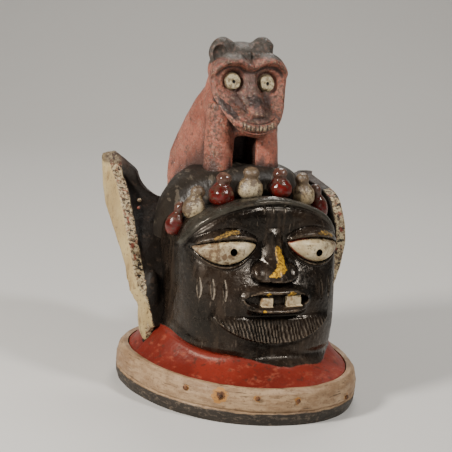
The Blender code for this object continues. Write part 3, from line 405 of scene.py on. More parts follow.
# The animal's row of teeth, its pupils and the cups of its ears: place and half sizes
TEETH_HALF_LENGTH = 0.0200
TEETH_HALF_HEIGHT = 0.0042
TEETH_PITCH = 0.0044
BEAST_PUPIL_RADIUS = 0.0017
BEAST_EAR_HOLLOWS = (
    ("right_hollow", (-0.0300, 0.0300, 0.3405), (0.0085, 0.0080, 0.0110)),
    ("left_hollow", (0.0335, 0.0365, 0.3405), (0.0065, 0.0060, 0.0085)),
)

# How much wider and taller some knobs are than their solids, and a knob's outline as (height, share
# of its radius), from -1 at the foot to 1 at the tip
KNOB_GROWTH = {2: (1.16, 1.08), 3: (1.05, 1.16), -2: (1.06, 1.0), 0: (1.04, 1.02)}
KNOB_WIDTHS = (
    (-1.0, 0.45), (-0.80, 0.80), (-0.45, 1.0), (-0.10, 0.93), (0.18, 0.68), (0.32, 0.53), (0.42, 0.55),
    (0.62, 0.62), (0.80, 0.52), (0.94, 0.32), (1.0, 0.02),
)

# The camera and the stage
VIEW_AZIMUTH = -25.0
VIEW_ELEVATION = 13.0
VIEW_ROLL = 5.0
VIEW_DISTANCE = 2.2
VIEW_LENS = 170.3
VIEW_AIM = (-0.017298, 0.007656, 0.165588)
LAMP_AIM = Vector((0.0, 0.0, 0.17))
FLOOR_TONE = (0.62, 0.61, 0.59)
FLOOR_REACH = 4.0
FLOOR_HALF_WIDTH = 5.0
SWEEP = 1.2
WALL_TOP = 5.0

# Lamps: place as a turning angle to the right of the face, a height angle and a distance, then width,
# power and colour
LAMPS = {
    "key": ((-74, 36, 1.7), 0.30, 36.0, (1.0, 0.95, 0.88)),
    "high": ((36, 50, 1.8), 0.26, 17.0, (1.0, 0.97, 0.93)),
    "low": ((-15, 8, 2.4), 1.0, 3.0, (1.0, 0.97, 0.93)),
    "back": ((150, 50, 1.9), 0.7, 14.0, (1.0, 0.97, 0.92)),
}
SKY_COLOUR = (1.0, 0.96, 0.90, 1.0)
SKY_STRENGTH = 0.13

# The mask's material slots
HEAD, HAIR, RED_KNOB, WHITE_KNOB, EAR, BEAST, RAW_WOOD = range(7)

# Two pegs on the inner face of the right ear: place, radius, slot
STUDS = (((-0.1000, 0.0455, 0.1850), 0.0021, WHITE_KNOB), ((-0.0990, 0.0477, 0.1765), 0.0018, RED_KNOB))

# Paint of the knobs: light, dark and grimy colour, share of grime, roughness and depth of its bumps
RED_PAINT = ((0.140, 0.005, 0.004), (0.060, 0.004, 0.003), (0.075, 0.036, 0.026), 0.9, 0.08, 0.0006)
CREAM_PAINT = ((0.48, 0.40, 0.26), (0.30, 0.22, 0.115), (0.095, 0.062, 0.036), 0.95, 0.30, 0.0016)

# Noise that runs up the wood is stretched by this
UPRIGHT_GRAIN = (1.0, 1.0, 0.16)

# Uneven knife work on each form: its depth, its fineness and the place in the noise
KNIFE_WORK = {
    "head": (0.00035, 60.0, 1.0),
    "dome": (0.0009, 70.0, 7.0),
    "knob": (0.0007, 110.0, 10.0),
    "ear": (0.0006, 80.0, 5.0),
    "animal": (0.0007, 95.0, 3.0),
    "hoop": (0.00045, 55.0, 20.0),
}

# Fineness of the shown pieces: steps round and up a form, sizes in metres and numbers of triangles
HEAD_STEPS = (330, 156)
DOME_STEPS = (96, 34)
HOLLOW_STEPS = (72, 40)
EAR_STEPS = (14, 60)
BEAST_BODY_STEPS = (56, 40)
BEAST_FACE_STEPS = (190, 66)
KNOB_SIDES = 36
NAIL_HEAD_SIDES = 22
EAR_FINE_VOXEL = 0.0018
EAR_FINE_TRIANGLES = 11000
BEAST_FINE_VOXEL = 0.0018
BEAST_FINE_TRIANGLES = 22000
HOOP_FINE_STEPS = 420

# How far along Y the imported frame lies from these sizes
SHIFT = float(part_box("rim_hoop")[0].y) + HOOP_FRONT


def smooth_step(low, high, value):
    t = np.clip((value - low) / (high - low), 0.0, 1.0)
    return t * t * (3.0 - 2.0 * t)


def remainder(used):
    """What is left of 1 once this share is used, never below 0."""
    return np.clip(1 - used, 0.0, 1.0)


def between(value, start, full, fading, end):
    """1 from full to fading, easing to 0 at the start and at the end."""
    return smooth_step(start, full, value) * (1 - smooth_step(fading, end, value))


def round_hill(t):
    """1 at t = 0, falling smoothly to 0 at |t| = 1."""
    return remainder(t * t) ** 2


def bead(value, place, half_width, height):
    """Rounded ridge of this height along the line where the value is the place."""
    return height * round_hill((value - place) / half_width)


def eased(stations, at):
    """Smooth line through (place, value) stations that never overshoots them."""
    place, value = np.array(stations, float).T
    slope = np.diff(value) / np.diff(place)
    tangent = np.concatenate([slope[:1], (slope[:-1] + slope[1:]) / 2, slope[-1:]])
    for i, s in enumerate(slope):
        limit = 3.0 * abs(s)
        for end in (i, i + 1):
            tangent[end] = np.clip(tangent[end], -limit, limit) if tangent[end] * s > 0 else 0.0
    at = np.clip(at, place[0], place[-1])
    k = np.clip(np.searchsorted(place, at) - 1, 0, len(slope) - 1)
    run = place[k + 1] - place[k]
    t = (at - place[k]) / run
    return (
        value[k] * (1 + 2 * t) * (1 - t) ** 2
        + value[k + 1] * t * t * (3 - 2 * t)
        + run * tangent[k] * t * (1 - t) ** 2
        - run * tangent[k + 1] * t * t * (1 - t)
    )


def face_outward(mesh):
    work = bmesh.new()
    work.from_mesh(mesh)
    if work.calc_volume(signed=True) < 0:
        bmesh.ops.reverse_faces(work, faces=work.faces[:])
        work.to_mesh(mesh)
    work.free()
    return mesh


def plain_mesh(name, points, faces):
    mesh = bpy.data.meshes.new(name)
    mesh.from_pydata(points, [], faces)
    mesh.update()
    return mesh


def loft(name, rings, bottom, top):
    """Closed mesh through rings of points, closed by a point below and a point above."""
    rings = np.array(rings)
    rows, columns = rings.shape[:2]
    points = [tuple(bottom)] + [tuple(p) for p in rings.reshape(-1, 3)] + [tuple(top)]
    last = len(points) - 1
    faces = []
    for i in range(columns):
        j = (i + 1) % columns
        faces.append((0, 1 + j, 1 + i))
        faces.append((last, 1 + (rows - 1) * columns + i, 1 + (rows - 1) * columns + j))
        for k in range(rows - 1):
            low = 1 + k * columns
            high = low + columns
            faces.append((low + i, low + j, high + j, high + i))
    return face_outward(plain_mesh(name, points, faces))


def around(steps):
    """Equal angles once round."""
    return np.linspace(0, 2 * np.pi, steps + 1)[:-1]


def swung(reach, angle, centre=0.0):
    """Places at a reach from a centre in each direction; angle 0 looks along -Y."""
    return reach * np.sin(angle), centre - reach * np.cos(angle)


def outline(angle, width, front, back, square, slim):
    """Reach of a rounded section in each direction; angle 0 looks along -Y."""
    ahead = np.cos(angle) > 0
    depth = np.where(ahead, front, back)
    power = np.where(ahead, square, slim)
    along = np.abs(np.cos(angle)) / depth
    across = np.abs(np.sin(angle)) / width
    return (along**power + across**power) ** (-1.0 / power)


def shell_section(height, angle, inset):
    """Points of the head shell at one height, moved in by the wall thickness."""
    vault = np.sqrt(remainder(((height - VAULT_SPRING) / VAULT_RISE) ** 2))
    vault = np.where(height > VAULT_SPRING, vault, 1.0)
    centre = eased(CENTRE_LINE, height)
    width = eased(WIDTH_LINE, height) * vault - inset
    front = eased(FRONT_LINE, height) + centre - inset
    back = eased(BACK_LINE, height) - centre - inset
    reach = outline(angle, width, front, back, eased(SQUARE_LINE, height), eased(SLIM_LINE, height))
    return swung(reach, angle, centre)


def neck_lift(height, x, y):
    """The neck line is lower at the front than at the sides and the back."""
    near = between(height, 0.037, NECK_LINE, NECK_LINE, 0.075)
    return NECK_RISE * near * smooth_step(-0.085, -0.020, y)


def eye_frame(x, z):
    """Place along an eye from -1 to 1, height over its middle line and how open it is there."""
    u = (np.abs(x) - EYE_OFFSET) / EYE_HALF_LENGTH
    above = z - (EYE_HEIGHT + EYE_SLANT * u + EYE_STEP * (x > 0))
    return u, above, remainder(u * u)


def lid_edges(open_share):
    """How far the upper lid's edge stands over an eye's middle line, and the lower one's under it."""
    arch = open_share**EYE_ARCH
    return EYE_RISE * arch, EYE_DROP * arch


def eye_relief(x, z):
    u, above, open_share = eye_frame(x, z)
    upper, lower = lid_edges(open_share)
    v = np.where(above > 0, above / np.maximum(upper, 1e-5), above / np.maximum(lower, 1e-5))
    swell = EYE_BULGE * open_share**0.5 * remainder(np.abs(v) ** 2.4) ** 0.6
    beyond = np.clip((1.06 - np.abs(u)) / 0.12, 0.0, 1.0)
    lid_width = LID_WIDTH + LID_SWELL * open_share
    lid = bead(above - upper, lid_width / 2, lid_width * 0.62, LID_HEIGHT)
    lid_mound = EYE_BULGE * 0.45 * open_share * round_hill(np.clip((above - upper) / LID_MOUND, 0, 1))
    low = bead(-above - lower, LOWER_LID_WIDTH / 2, LOWER_LID_WIDTH * 0.8, LOWER_LID_HEIGHT)
    return swell * (np.abs(u) < 1) + (lid + low) * beyond + lid_mound * (above > upper)


def nose_relief(x, z):
    """Wedge that widens from the bridge to the nostrils, with a rounded wing on each side."""
    a = np.abs(x - NOSE_SHIFT)
    ridge = eased(NOSE_RISE_LINE, z) * remainder((a / eased(NOSE_WIDTH_LINE, z)) ** 1.5) ** 0.8
    side = (a - WING_OFFSET) / WING_HALF_WIDTH
    up = (z - NOSE_TIP + 0.001) / np.where(z > NOSE_TIP - 0.001, 0.0105, 0.0068)
    ala = WING_PROJECTION * np.clip(1 - side**2 - up**2, 0.0, 1.0) ** 0.5
    return np.maximum(ridge, ala)


def mouth_relief(x, z):
    u = x / (MOUTH_HALF_WIDTH + 0.004)
    v = (z - MOUTH_HEIGHT + 0.0005) / LIP_HALF_HEIGHT
    inside = np.clip(1 - np.abs(u) ** 3.0 - np.abs(v) ** 2.5, 0.0, 1.0)
    lips = LIP_PROJECTION * inside**0.65
    roll = LIP_ROLL * remainder(u * u) * round_hill((np.abs(v) - 0.70) / 0.30)
    far = np.hypot(x / LIP_MOUND_HALF_WIDTH, (z - MOUTH_HEIGHT + 0.0020) / LIP_MOUND_HALF_HEIGHT)
    return lips + roll + LIP_MOUND * round_hill(np.clip(far, 0, 1))


def mouth_opening(x, z):
    """Depth of the carved opening between the lips, less in front of the teeth."""
    u = x / MOUTH_HALF_WIDTH
    half = MOUTH_HALF_OPENING * remainder(np.abs(u) ** 4) ** 0.5
    inside = smooth_step(-0.0005, 0.0007, half - np.abs(z - MOUTH_HEIGHT + 0.0005)) * (np.abs(u) < 1)
    depth = np.full_like(x, MOUTH_DEPTH)
    for start, end in TOOTH_SPANS:
        tooth = between(x, start - 0.0004, start + 0.0008, end - 0.0008, end + 0.0004)
        depth = depth - (MOUTH_DEPTH - TOOTH_DEPTH) * tooth
    return depth * inside


def beard_lower_edge(x):
    return BEARD_TOP - BEARD_DROP * remainder((x / BEARD_HALF_WIDTH) ** 2) ** 0.75


def beard_relief(x, z):
    low = beard_lower_edge(x)
    t = (BEARD_TOP - z) / np.maximum(BEARD_TOP - low, 1e-5)
    inside = remainder((x / BEARD_HALF_WIDTH) ** 4) ** 0.5
    rise = BEARD_EDGE + (BEARD_PROJECTION - BEARD_EDGE) * np.clip(t, 0, 1)
    edge = smooth_step(-0.0012, 0.0008, z - low)
    edge = edge * (1 - smooth_step(BEARD_TOP - 0.001, BEARD_TOP + 0.002, z))
    return rise * edge * inside


def face_relief(x, z):
    relief = eye_relief(x, z) + nose_relief(x, z) + mouth_relief(x, z) + beard_relief(x, z)
    return relief - mouth_opening(x, z)


def brim_height(x):
    return VAULT_SPRING + VAULT_RISE * np.sqrt(remainder((x / HEAD_HALF_WIDTH) ** 2)) - BRIM_DROP


def dome_mesh(columns, rows):
    """Hair dome: flat towards the knobs, sloping down to the back."""
    angle = around(columns)
    rings = []
    for t in np.linspace(0.0, 0.985, rows):
        rise = DOME_FOOT + (DOME_TOP - DOME_FOOT) * np.sin(t * np.pi / 2) ** 0.9
        share = np.cos(t * np.pi / 2) ** 0.55
        centre = DOME_CENTRE - DOME_LEAN * t
        front = (centre - DOME_FRONT) * (0.35 + 0.65 * share)
        back = (DOME_BACK - centre) * share**1.1
        reach = outline(angle, DOME_HALF_WIDTH * share, front, back, DOME_SQUARE, DOME_SLIM)
        x, y = swung(reach, angle, centre)
        rings.append(np.column_stack([x, y, rise + KNOB_TILT * 0.5 * x * t]))
    top = (0, DOME_CENTRE - DOME_LEAN, DOME_TOP)
    return loft("hair_dome", rings, (0, DOME_CENTRE, DOME_FOOT), top)


def hollow_mesh(columns, rows):
    """Room for the wearer's head: the shell moved in by the wall, open below."""
    angle = around(columns)
    rings = []
    for height in (HOLLOW_FOOT, FOOT_HEIGHT, *np.linspace(0.052, 0.186, rows)):
        level = np.full(columns, max(height, FOOT_HEIGHT))
        dome = 1.0
        if height > HOLLOW_SPRING:
            dome = np.sqrt(remainder(((height - HOLLOW_SPRING) / HOLLOW_RISE) ** 2))
        inset = FOOT_WALL if height <= FOOT_HEIGHT else WALL
        x, y = shell_section(np.minimum(level, VAULT_SPRING), angle, inset)
        y = HEAD_CENTRE + (y - HEAD_CENTRE) * dome
        rings.append(np.column_stack([x * dome, y, np.full(columns, height)]))
    return loft("hollow", rings, (0, 0, HOLLOW_FOOT), (0, HEAD_CENTRE, HOLLOW_SPRING + HOLLOW_RISE))


def turned(name, profile, sides, place, lean):
    """Solid of revolution through (radius, height) points, standing at a place."""
    angle = around(sides)
    rings = []
    for radius, height in profile[1:-1]:
        x, y = radius * np.cos(angle), radius * np.sin(angle)
        rings.append(np.column_stack([x, y, np.full(sides, height)]))
    mesh = loft(name, rings, (0, 0, profile[0][1]), (0, 0, profile[-1][1]))
    mesh.transform(Matrix.Translation(Vector(place)) @ lean)
    return mesh


def knob_place(step):
    """Middle, turn, radius and half height of one knob."""
    angle = np.radians(KNOB_ANGLE * step)
    bow = np.cos(angle)
    x = KNOB_ARC_WIDTH * np.sin(angle) + KNOB_ARC_SHIFT - KNOB_ARC_BOW * bow
    y = KNOB_FORWARD - KNOB_FORWARD_BOW * bow
    z = KNOB_ARC_FOOT + KNOB_ARC_RISE * bow + KNOB_TILT * x
    width, height = KNOB_SHARES[step + 3]
    sink = KNOB_HEIGHT * (1 - height) / 2
    place = Vector((x + KNOB_NUDGES[step + 3], y, z - sink))
    return place, angle, KNOB_RADIUS * width, KNOB_HEIGHT * height / 2


def ear_corners(form, height):
    """Free edge, outer back corner and root of a cupped ear at one height."""
    return [
        np.array([eased(form[f"{line}_x"], height), eased(form[f"{line}_y"], height)])
        for line in ("front", "back", "root")
    ]


def ear_mesh(name, side, form, across, levels):
    """Sheet from the free edge round the back corner to the root on the head."""
    columns = 2 * across + 1
    points = []
    for height in EAR_FOOT + (form["top"] - EAR_FOOT) * np.linspace(0, 1, levels):
        free, corner, root = ear_corners(form, np.array(height))
        for s in np.linspace(0, 1, columns):
            plate = free + (corner - free) * min(2 * s, 1.0)
            x, y = plate + (root - corner) * max(2 * s - 1, 0.0)
            points.append((side * x, y, height))
    faces = []
    for k in range(levels - 1):
        for i in range(columns - 1):
            low = k * columns + i
            faces.append((low, low + 1, low + 1 + columns, low + columns)[::side])
    return plain_mesh(name, points, faces)


def basic_solid(name, create, stand, **sizes):
    """One of Blender's basic solids, put in its place by a matrix."""
    mesh = bpy.data.meshes.new(name)
    work = bmesh.new()
    create(work, **sizes)
    bmesh.ops.transform(work, matrix=stand, verts=work.verts[:])
    work.to_mesh(mesh)
    work.free()
    return mesh


def cone(name, stand, sides, foot_radius, top_radius, length):
    sizes = {"segments": sides, "radius1": foot_radius, "radius2": top_radius, "depth": length}
    return basic_solid(name, bmesh.ops.create_cone, stand, cap_ends=True, **sizes)


def ball(name, place, radii, turn=0.0, segments=24, ring_count=14):
    sizes = {"u_segments": segments, "v_segments": ring_count, "radius": 1.0}
    spin = Matrix.Rotation(np.radians(turn), 4, "X")
    stand = Matrix.Translation(Vector(place)) @ spin @ Matrix.Diagonal((*radii, 1.0))
    return basic_solid(name, bmesh.ops.create_uvsphere, stand, **sizes)


def beast_body_mesh(columns, rows):
    """Back and flanks, falling from the shoulders to the rump."""
    angle = around(columns)
    rings = []
    for y in np.linspace(0.012, RUMP_END, rows):
        top = eased(BACK_TOP_LINE, np.array(y))
        half = (top - BACK_FOOT) / 2
        width = BODY_HALF_WIDTH * (0.87 + 0.13 * smooth_step(0.02, 0.07, y))
        reach = outline(angle, width, half, half, 3.2, 3.2)
        across, height = swung(reach, angle, (top + BACK_FOOT) / 2)
        rings.append(np.column_stack([across, np.full(columns, y), height]))
    return loft("beast_body", rings, (0, 0.006, 0.22), (0, RUMP_END + 0.006, 0.200))


def post(name, foot, top, radii, taper):
    """Rounded post from one place up to another, thinner at the top."""
    mesh = cone(name, Matrix(), 24, 1.0, taper, 1.0)
    for vertex in mesh.vertices:
        place = Vector(foot).lerp(Vector(top), vertex.co.z + 0.5)
        vertex.co = place + Vector((vertex.co.x * radii[0], vertex.co.y * radii[1], 0.0))
    return mesh


def beast_plane(z):
    return eased(BEAST_PLANE, z - CHIN_HEIGHT)


def beast_relief(x, z):
    """How far brows, snout, muzzle and eyes stand out of the plane of the animal's face."""
    a = np.abs(x)
    up = z - CHIN_HEIGHT
    brow = bead(up, eased(BROW_LINE, a), BROW_HALF_WIDTH, BROW_PROJECTION)
    brow = brow * (1 - 0.6 * smooth_step(0.020, 0.041, a))
    half = eased(SNOUT_HALF_WIDTH, up)
    snout = eased(SNOUT_PROJECTION, up) * remainder((a / half) ** 2.2) ** 0.7
    snout = snout * between(up, 0.0130, 0.0250, 0.0595, 0.0685)
    cheek = bead(a - half, 0.0030, 0.0080, CHEEK_HOLLOW) * between(up, 0.0225, 0.0290, 0.0400, 0.0480)
    spread = np.hypot(x / MUZZLE_HALF_WIDTH, (z - MUZZLE_HEIGHT) / MUZZLE_HALF_HEIGHT)
    muzzle = MUZZLE_PROJECTION * remainder(spread**2) ** 1.4
    eye = beast_eye_distance(x, z)
    disc = smooth_step(BEAST_EYE_RADIUS * 0.8, BEAST_EYE_RADIUS * 1.08, eye)
    disc = BEAST_EYE_PROJECTION * (1 - disc)
    socket = SOCKET_DEPTH * (1 - smooth_step(SOCKET_RADIUS * 0.6, SOCKET_RADIUS, eye))
    open_eye = (disc - socket) * (1 - smooth_step(0.0, BROW_PROJECTION * 0.6, brow))
    return brow + open_eye + np.maximum(snout, muzzle) - cheek


def box(name, low, high):
    low, high = Vector(low), Vector(high)
    stand = Matrix.Translation((low + high) / 2) @ Matrix.Diagonal((*(high - low), 1.0))
    return basic_solid(name, bmesh.ops.create_cube, stand, size=1.0)


def rod(name, start, end, radius, sides):
    """Straight rod between two points."""
    start, end = Vector(start), Vector(end)
    aim = (end - start).to_track_quat("Z", "Y").to_matrix().to_4x4()
    stand = Matrix.Translation((start + end) / 2) @ aim
    return cone(name, stand, sides, radius, radius, (end - start).length)


def rim_point(angle, inset, height):
    """Point of the rim line, moved in from the outside of the hoop."""
    width, front, back = HOOP_HALF_WIDTH - inset, HOOP_FRONT - inset, HOOP_BACK - inset
    reach = float(outline(np.array(angle), width, front, back, HOOP_POWER, HOOP_POWER))
    return Vector((*swung(reach, angle), height))


def solid(name, mesh):
    item = bpy.data.objects.new(name, mesh)
    bpy.context.scene.collection.objects.link(item)
    return item


def apply_modifiers(item):
    graph = bpy.context.evaluated_depsgraph_get()
    mesh = bpy.data.meshes.new_from_object(item.evaluated_get(graph))
    item.modifiers.clear()
    item.data = mesh


def combine(item, other, operation):
    """Join another form to this one, or cut it away, and keep the faces' materials."""
    step = item.modifiers.new("combine", "BOOLEAN")
    step.operation = operation
    step.solver = "MANIFOLD"
    step.object = other
    apply_modifiers(item)
    bpy.data.objects.remove(other, do_unlink=True)


def blend(item, voxel, passes):
    """Run overlapping forms together into one skin and soften it."""
    remesh = item.modifiers.new("blend", "REMESH")
    remesh.mode = "VOXEL"
    remesh.voxel_size = voxel
    soften = item.modifiers.new("soften", "SMOOTH")
    soften.iterations = passes
    soften.factor = 0.5
    apply_modifiers(item)


def thin_out(item, triangles):
    item.data.calc_loop_triangles()
    share = triangles / len(item.data.loop_triangles)
    if share < 1.0:
        step = item.modifiers.new("thin_out", "DECIMATE")
        step.ratio = share
        apply_modifiers(item)


def paint_all(mesh, slots, index):
    """Give a mesh the mask's material slots and set every face to one of them."""
    mesh.materials.clear()
    for material in slots:
        mesh.materials.append(material)
    mesh.polygons.foreach_set("material_index", np.full(len(mesh.polygons), index, np.int32))


def add_form(item, mesh, slots, index, operation="UNION"):
    """Join a form of one material to this piece, or cut it away."""
    paint_all(mesh, slots, index)
    combine(item, solid(mesh.name, mesh), operation)


def join_meshes(target, meshes):
    """Fill a mesh with all of these."""
    work = bmesh.new()
    for mesh in meshes:
        work.from_mesh(mesh)
    work.to_mesh(target)
    work.free()


def coordinates(mesh, kind="co"):
    """Places of a mesh's vertices, or their normals, one row each."""
    rows = np.zeros(len(mesh.vertices) * 3)
    mesh.vertices.foreach_get(kind, rows)
    return rows.reshape(-1, 3)


def roughen(mesh, form, turn=0.0):
    """Uneven knife work: move each point along its normal by a smooth noise."""
    amount, scale, seed = KNIFE_WORK[form]
    seed = seed + turn
    points = coordinates(mesh)
    wave = np.array([noise.noise(Vector(p)) for p in points * scale + seed])
    points = points + coordinates(mesh, "normal") * (wave * amount)[:, None]
    mesh.vertices.foreach_set("co", points.ravel())
    mesh.update()


# Fine carving on the face


def beard_wave(x, z):
    """Cut pattern of the beard: 1 in the bottom of a stroke, 0 on the ridge between two."""
    run = x + (z - BEARD_TOP) * (0.10 + 0.34 * np.abs(x) / BEARD_HALF_WIDTH)
    wobble = 0.0007 * np.sin(x * 310.0) + 0.0003 * np.sin(z * 900.0 + x * 200.0)
    phase = (run + wobble) / (2 * BEARD_HALF_WIDTH / BEARD_FINE_STROKES)
    return np.clip(np.cos(2 * np.pi * phase) * 0.75 + 0.25, 0.0, 1.0)


def beard_zone(x, z):
    """Millimetres inside the beard's outline."""
    low = z - beard_lower_edge(x)
    high = BEARD_TOP - 0.0005 - z
    ends = (BEARD_HALF_WIDTH - np.abs(x)) * 0.6
    return np.minimum(np.minimum(low, high), ends) * MM


def lens_zone(x, z, centre_x, centre_z, length, width):
    """1 on the middle line of a lens-shaped cut, 0 at its edge and negative outside."""
    along = (z - centre_z) / (length / 2)
    half = width / 2 * remainder(along**2)
    return np.where(np.abs(along) < 1, 1 - np.abs(x - centre_x) / np.maximum(half, 1e-5), -1.0)


def cuts_depth(x, z):
    """Cheek cuts and the small nicks over the brow."""
    depth = np.zeros_like(x)
    for side in (-1, 1):
        for offset in CHEEK_CUTS:
            cut = lens_zone(x, z, side * offset, CHEEK_CUT_HEIGHT, CHEEK_CUT_LENGTH, CHEEK_CUT_WIDTH)
            depth = np.maximum(depth, CHEEK_CUT_DEPTH * np.clip(cut, 0.0, 1.0) ** 0.8)
    for offset, height, length in NICKS:
        cut = lens_zone(x, z, offset, height, length, NICK_WIDTH)
        depth = np.maximum(depth, NICK_DEPTH * np.clip(cut, 0.0, 1.0))
    return depth


def lip_forms(x, z):
    """Full lower lip with a hollow under it, and the ridge along the top of the upper lip."""
    up = z - MOUTH_HEIGHT
    lower = bead(up, -0.0106, 0.0050, 0.0040)
    under = bead(up, -0.0178, 0.0036, 0.0022)
    ridge = bead(up - 0.0118 + 9.0 * x * x, 0.0, 0.0018, 0.0011)
    return remainder((x / 0.034) ** 2) ** 0.6 * (lower - under + ridge)


def eye_lines(x, z):
    """Grooves along both lids, the fold over the upper one and the roll of the lower one."""
    u, above, open_share = eye_frame(x, z)
    upper, lower = lid_edges(open_share)
    edge, under = above - upper, -above - lower
    fold = edge - LID_WIDTH - LID_SWELL * open_share
    lines = (bead(edge, 0.0, 0.0015, 0.0017) + bead(under, 0.0, 0.0011, 0.0010)) * (np.abs(u) < 1.02)
    roll = bead(under, 0.0026, 0.0022, 0.0013) - bead(under, 0.0058, 0.0018, 0.0008)
    lines = lines - roll * (np.abs(u) < 0.98) * open_share**0.3
    return lines + bead(fold, 0.0006, 0.0016, 0.0012) * (np.abs(u) < 1.05)


def fine_relief(x, z):
    a = np.abs(x)
    beard = STROKE_DEPTH * beard_wave(x, z) * np.clip(beard_zone(x, z) / 1.2, 0.0, 1.0)
    beard = beard * (0.25 + 0.75 * np.clip((BEARD_TOP - z) / 0.0080, 0.0, 1.0))
    side = np.abs(x - NOSE_SHIFT)
    wing = np.hypot((side - WING_OFFSET + 0.001) / 0.0090, (z - NOSE_TIP - 0.0005) / 0.0105)
    crease = bead(wing, 1.0, 0.16, 0.0011) * (side > 0.009)
    corner = bead(z - MOUTH_HEIGHT, 0.0005, 0.0012, 0.0010)
    corner = corner * (a < MOUTH_HALF_WIDTH * 1.12) * (a > MOUTH_HALF_WIDTH * 0.97)
    dip = bead(x, 0.0, 0.006, 0.0016) * between(z, 0.1245, 0.1275, 0.130, 0.133)
    under_brim = bead(z - brim_height(x), -BRIM_HALF_WIDTH * 1.1, 0.0024, 0.0012) * (z > 0.150)
    grooves = beard + crease + eye_lines(x, z) + corner + dip + under_brim + cuts_depth(x, z)
    return lip_forms(x, z) - grooves


# Zones of paint, each a signed distance in millimetres


def eye_zone(x, z):
    u, above, open_share = eye_frame(x, z)
    upper, lower = lid_edges(open_share)
    inside = np.minimum(upper - above, lower + above)
    return np.minimum(inside, (1 - np.abs(u)) * EYE_HALF_LENGTH) * MM


def tooth_zone(x, z):
    best = np.full_like(x, -5.0)
    for (start, end), top in zip(TOOTH_SPANS, TOOTH_TOPS):
        across = np.minimum(x - start, end - x)
        up = np.minimum(z - MOUTH_HEIGHT + MOUTH_HALF_OPENING + 0.0002, MOUTH_HEIGHT + top - z)
        best = np.maximum(best, np.minimum(across, up) * MM)
    return best


def outline_zone(x, z, points):
    """Signed distance in millimetres to a closed outline: positive inside."""
    points = np.array(points)
    nearest = np.full_like(x, 1.0)
    inside = np.zeros(x.shape, bool)
    for (ax, az), (bx, bz) in zip(points, np.roll(points, -1, axis=0)):
        run = np.array([bx - ax, bz - az])
        t = np.clip(((x - ax) * run[0] + (z - az) * run[1]) / (run @ run), 0.0, 1.0)
        nearest = np.minimum(nearest, np.hypot(x - ax - t * run[0], z - az - t * run[1]))
        crosses = (az > z) != (bz > z)
        inside ^= crosses & (x < ax + (z - az) / (bz - az + 1e-12) * run[0])
    return np.where(inside, nearest, -nearest) * MM


def neck_zone(x, y, z):
    """Millimetres above the line between the black head and the red collar."""
    line = NECK_LINE + NECK_RISE * smooth_step(-0.085, -0.020, y) + 0.0012 * np.sin(x * 90.0 + y * 70.0)
    line = line + NECK_SLANT * smooth_step(0.035, -0.060, x) * (1 - smooth_step(-0.02, 0.05, y))
    return (z - line) * MM


# Forms of the shown mask


def face_angles(columns):
    """Directions that step finely over the face and coarsely round the back."""
    fine = np.linspace(0, 2 * np.pi, 7201)
    x, y = swung(outline(fine, HEAD_HALF_WIDTH, 0.080, 0.110, 3.2, 1.8), fine)
    weight = np.where(y[:-1] < -0.035, 1.0, np.where(y[:-1] < 0.005, 0.55, 0.20))
    along = np.concatenate([[0.0], np.cumsum(np.hypot(np.diff(x), np.diff(y)) * weight)])
    return np.interp(np.linspace(0, along[-1], columns + 1)[:-1], along, fine)


def head_shell(columns, rows):
    angle = face_angles(columns)
    facing = np.cos(angle)
    low_rows = (0.0, 0.012, 0.024, FOOT_HEIGHT - 0.002, FOOT_HEIGHT)
    rings = []
    for height in (*low_rows, *np.linspace(FOOT_HEIGHT + 0.0015, VAULT_TOP - 0.0004, rows)):
        x, y = shell_section(np.full(columns, max(height, FOOT_HEIGHT)), angle, 0.0)
        z = height + neck_lift(height, x, y)
        behind = np.clip(y + eased(FRONT_LINE, np.array(height)), 0.0, 0.06)
        z = z - VAULT_FALL * behind * smooth_step(0.180, VAULT_TOP, height)
        y = y - smooth_step(0.0, 0.35, facing) * (face_relief(x, z) + fine_relief(x, z)) * (z > 0.06)
        brim = BRIM_PROJECTION * round_hill((z - brim_height(x)) / BRIM_HALF_WIDTH)
        brim = brim * smooth_step(0.0, 0.2, facing) * (z > 0.150)
        brim = brim * (1 - BRIM_FADE * smooth_step(0.050, 0.080, np.abs(x)))
        x = x * (1 + brim / HEAD_HALF_WIDTH)
        y = y - brim * np.clip(facing * 1.4, 0, 1)
        ledge = NECK_LEDGE * between(neck_zone(x, y, z) / MM, -0.0012, 0.0004, 0.004, 0.014)
        spread = 1 + ledge / np.maximum(np.hypot(x, y), 1e-6)
        rings.append(np.column_stack([x * spread, y * spread, z]))
    return loft("head_shell", rings, (0.0, 0.0, 0.0), (0.0, HEAD_CENTRE, VAULT_TOP - VAULT_FALL * 0.047))


def beast_fine_relief(x, z):
    """Sockets, pupils, the split brow, the creases beside the snout and the row of teeth."""
    a = np.abs(x)
    up = z - CHIN_HEIGHT
    eye = beast_eye_distance(x, z)
    socket = bead(eye, BEAST_EYE_RADIUS * 1.16, 0.0022, 0.0009)
    pupil = 0.0020 * (1 - smooth_step(0.0010, 0.0019, eye))
    split = bead(x - 0.001, 0.04 * (up - 0.07), 0.0014, 0.0024) * smooth_step(0.066, 0.071, up)
    crease = bead(a, 0.0092 + 0.42 * (up - 0.0240), 0.0026, 0.0046)
    crease = crease * between(up, 0.0210, 0.0260, 0.0430, 0.0470)
    ridge = 0.0026 * remainder(np.abs(x - 0.0026) / 0.0080)
    ridge = ridge * between(up, 0.0170, 0.0280, 0.0560, 0.0650)
    row = teeth_height(x) - z
    teeth = bead(row, 0.0, TEETH_HALF_HEIGHT, 0.0014) * (1 - 0.9 * tooth_gaps(x))
    teeth = teeth * (a < TEETH_HALF_LENGTH)
    lips = bead(row, 0.0045, 0.0013, 0.0012) + bead(row, -0.0045, 0.0013, 0.0012)
    return teeth + ridge - lips * (a < TEETH_HALF_LENGTH + 0.001) - socket - pupil - split - crease


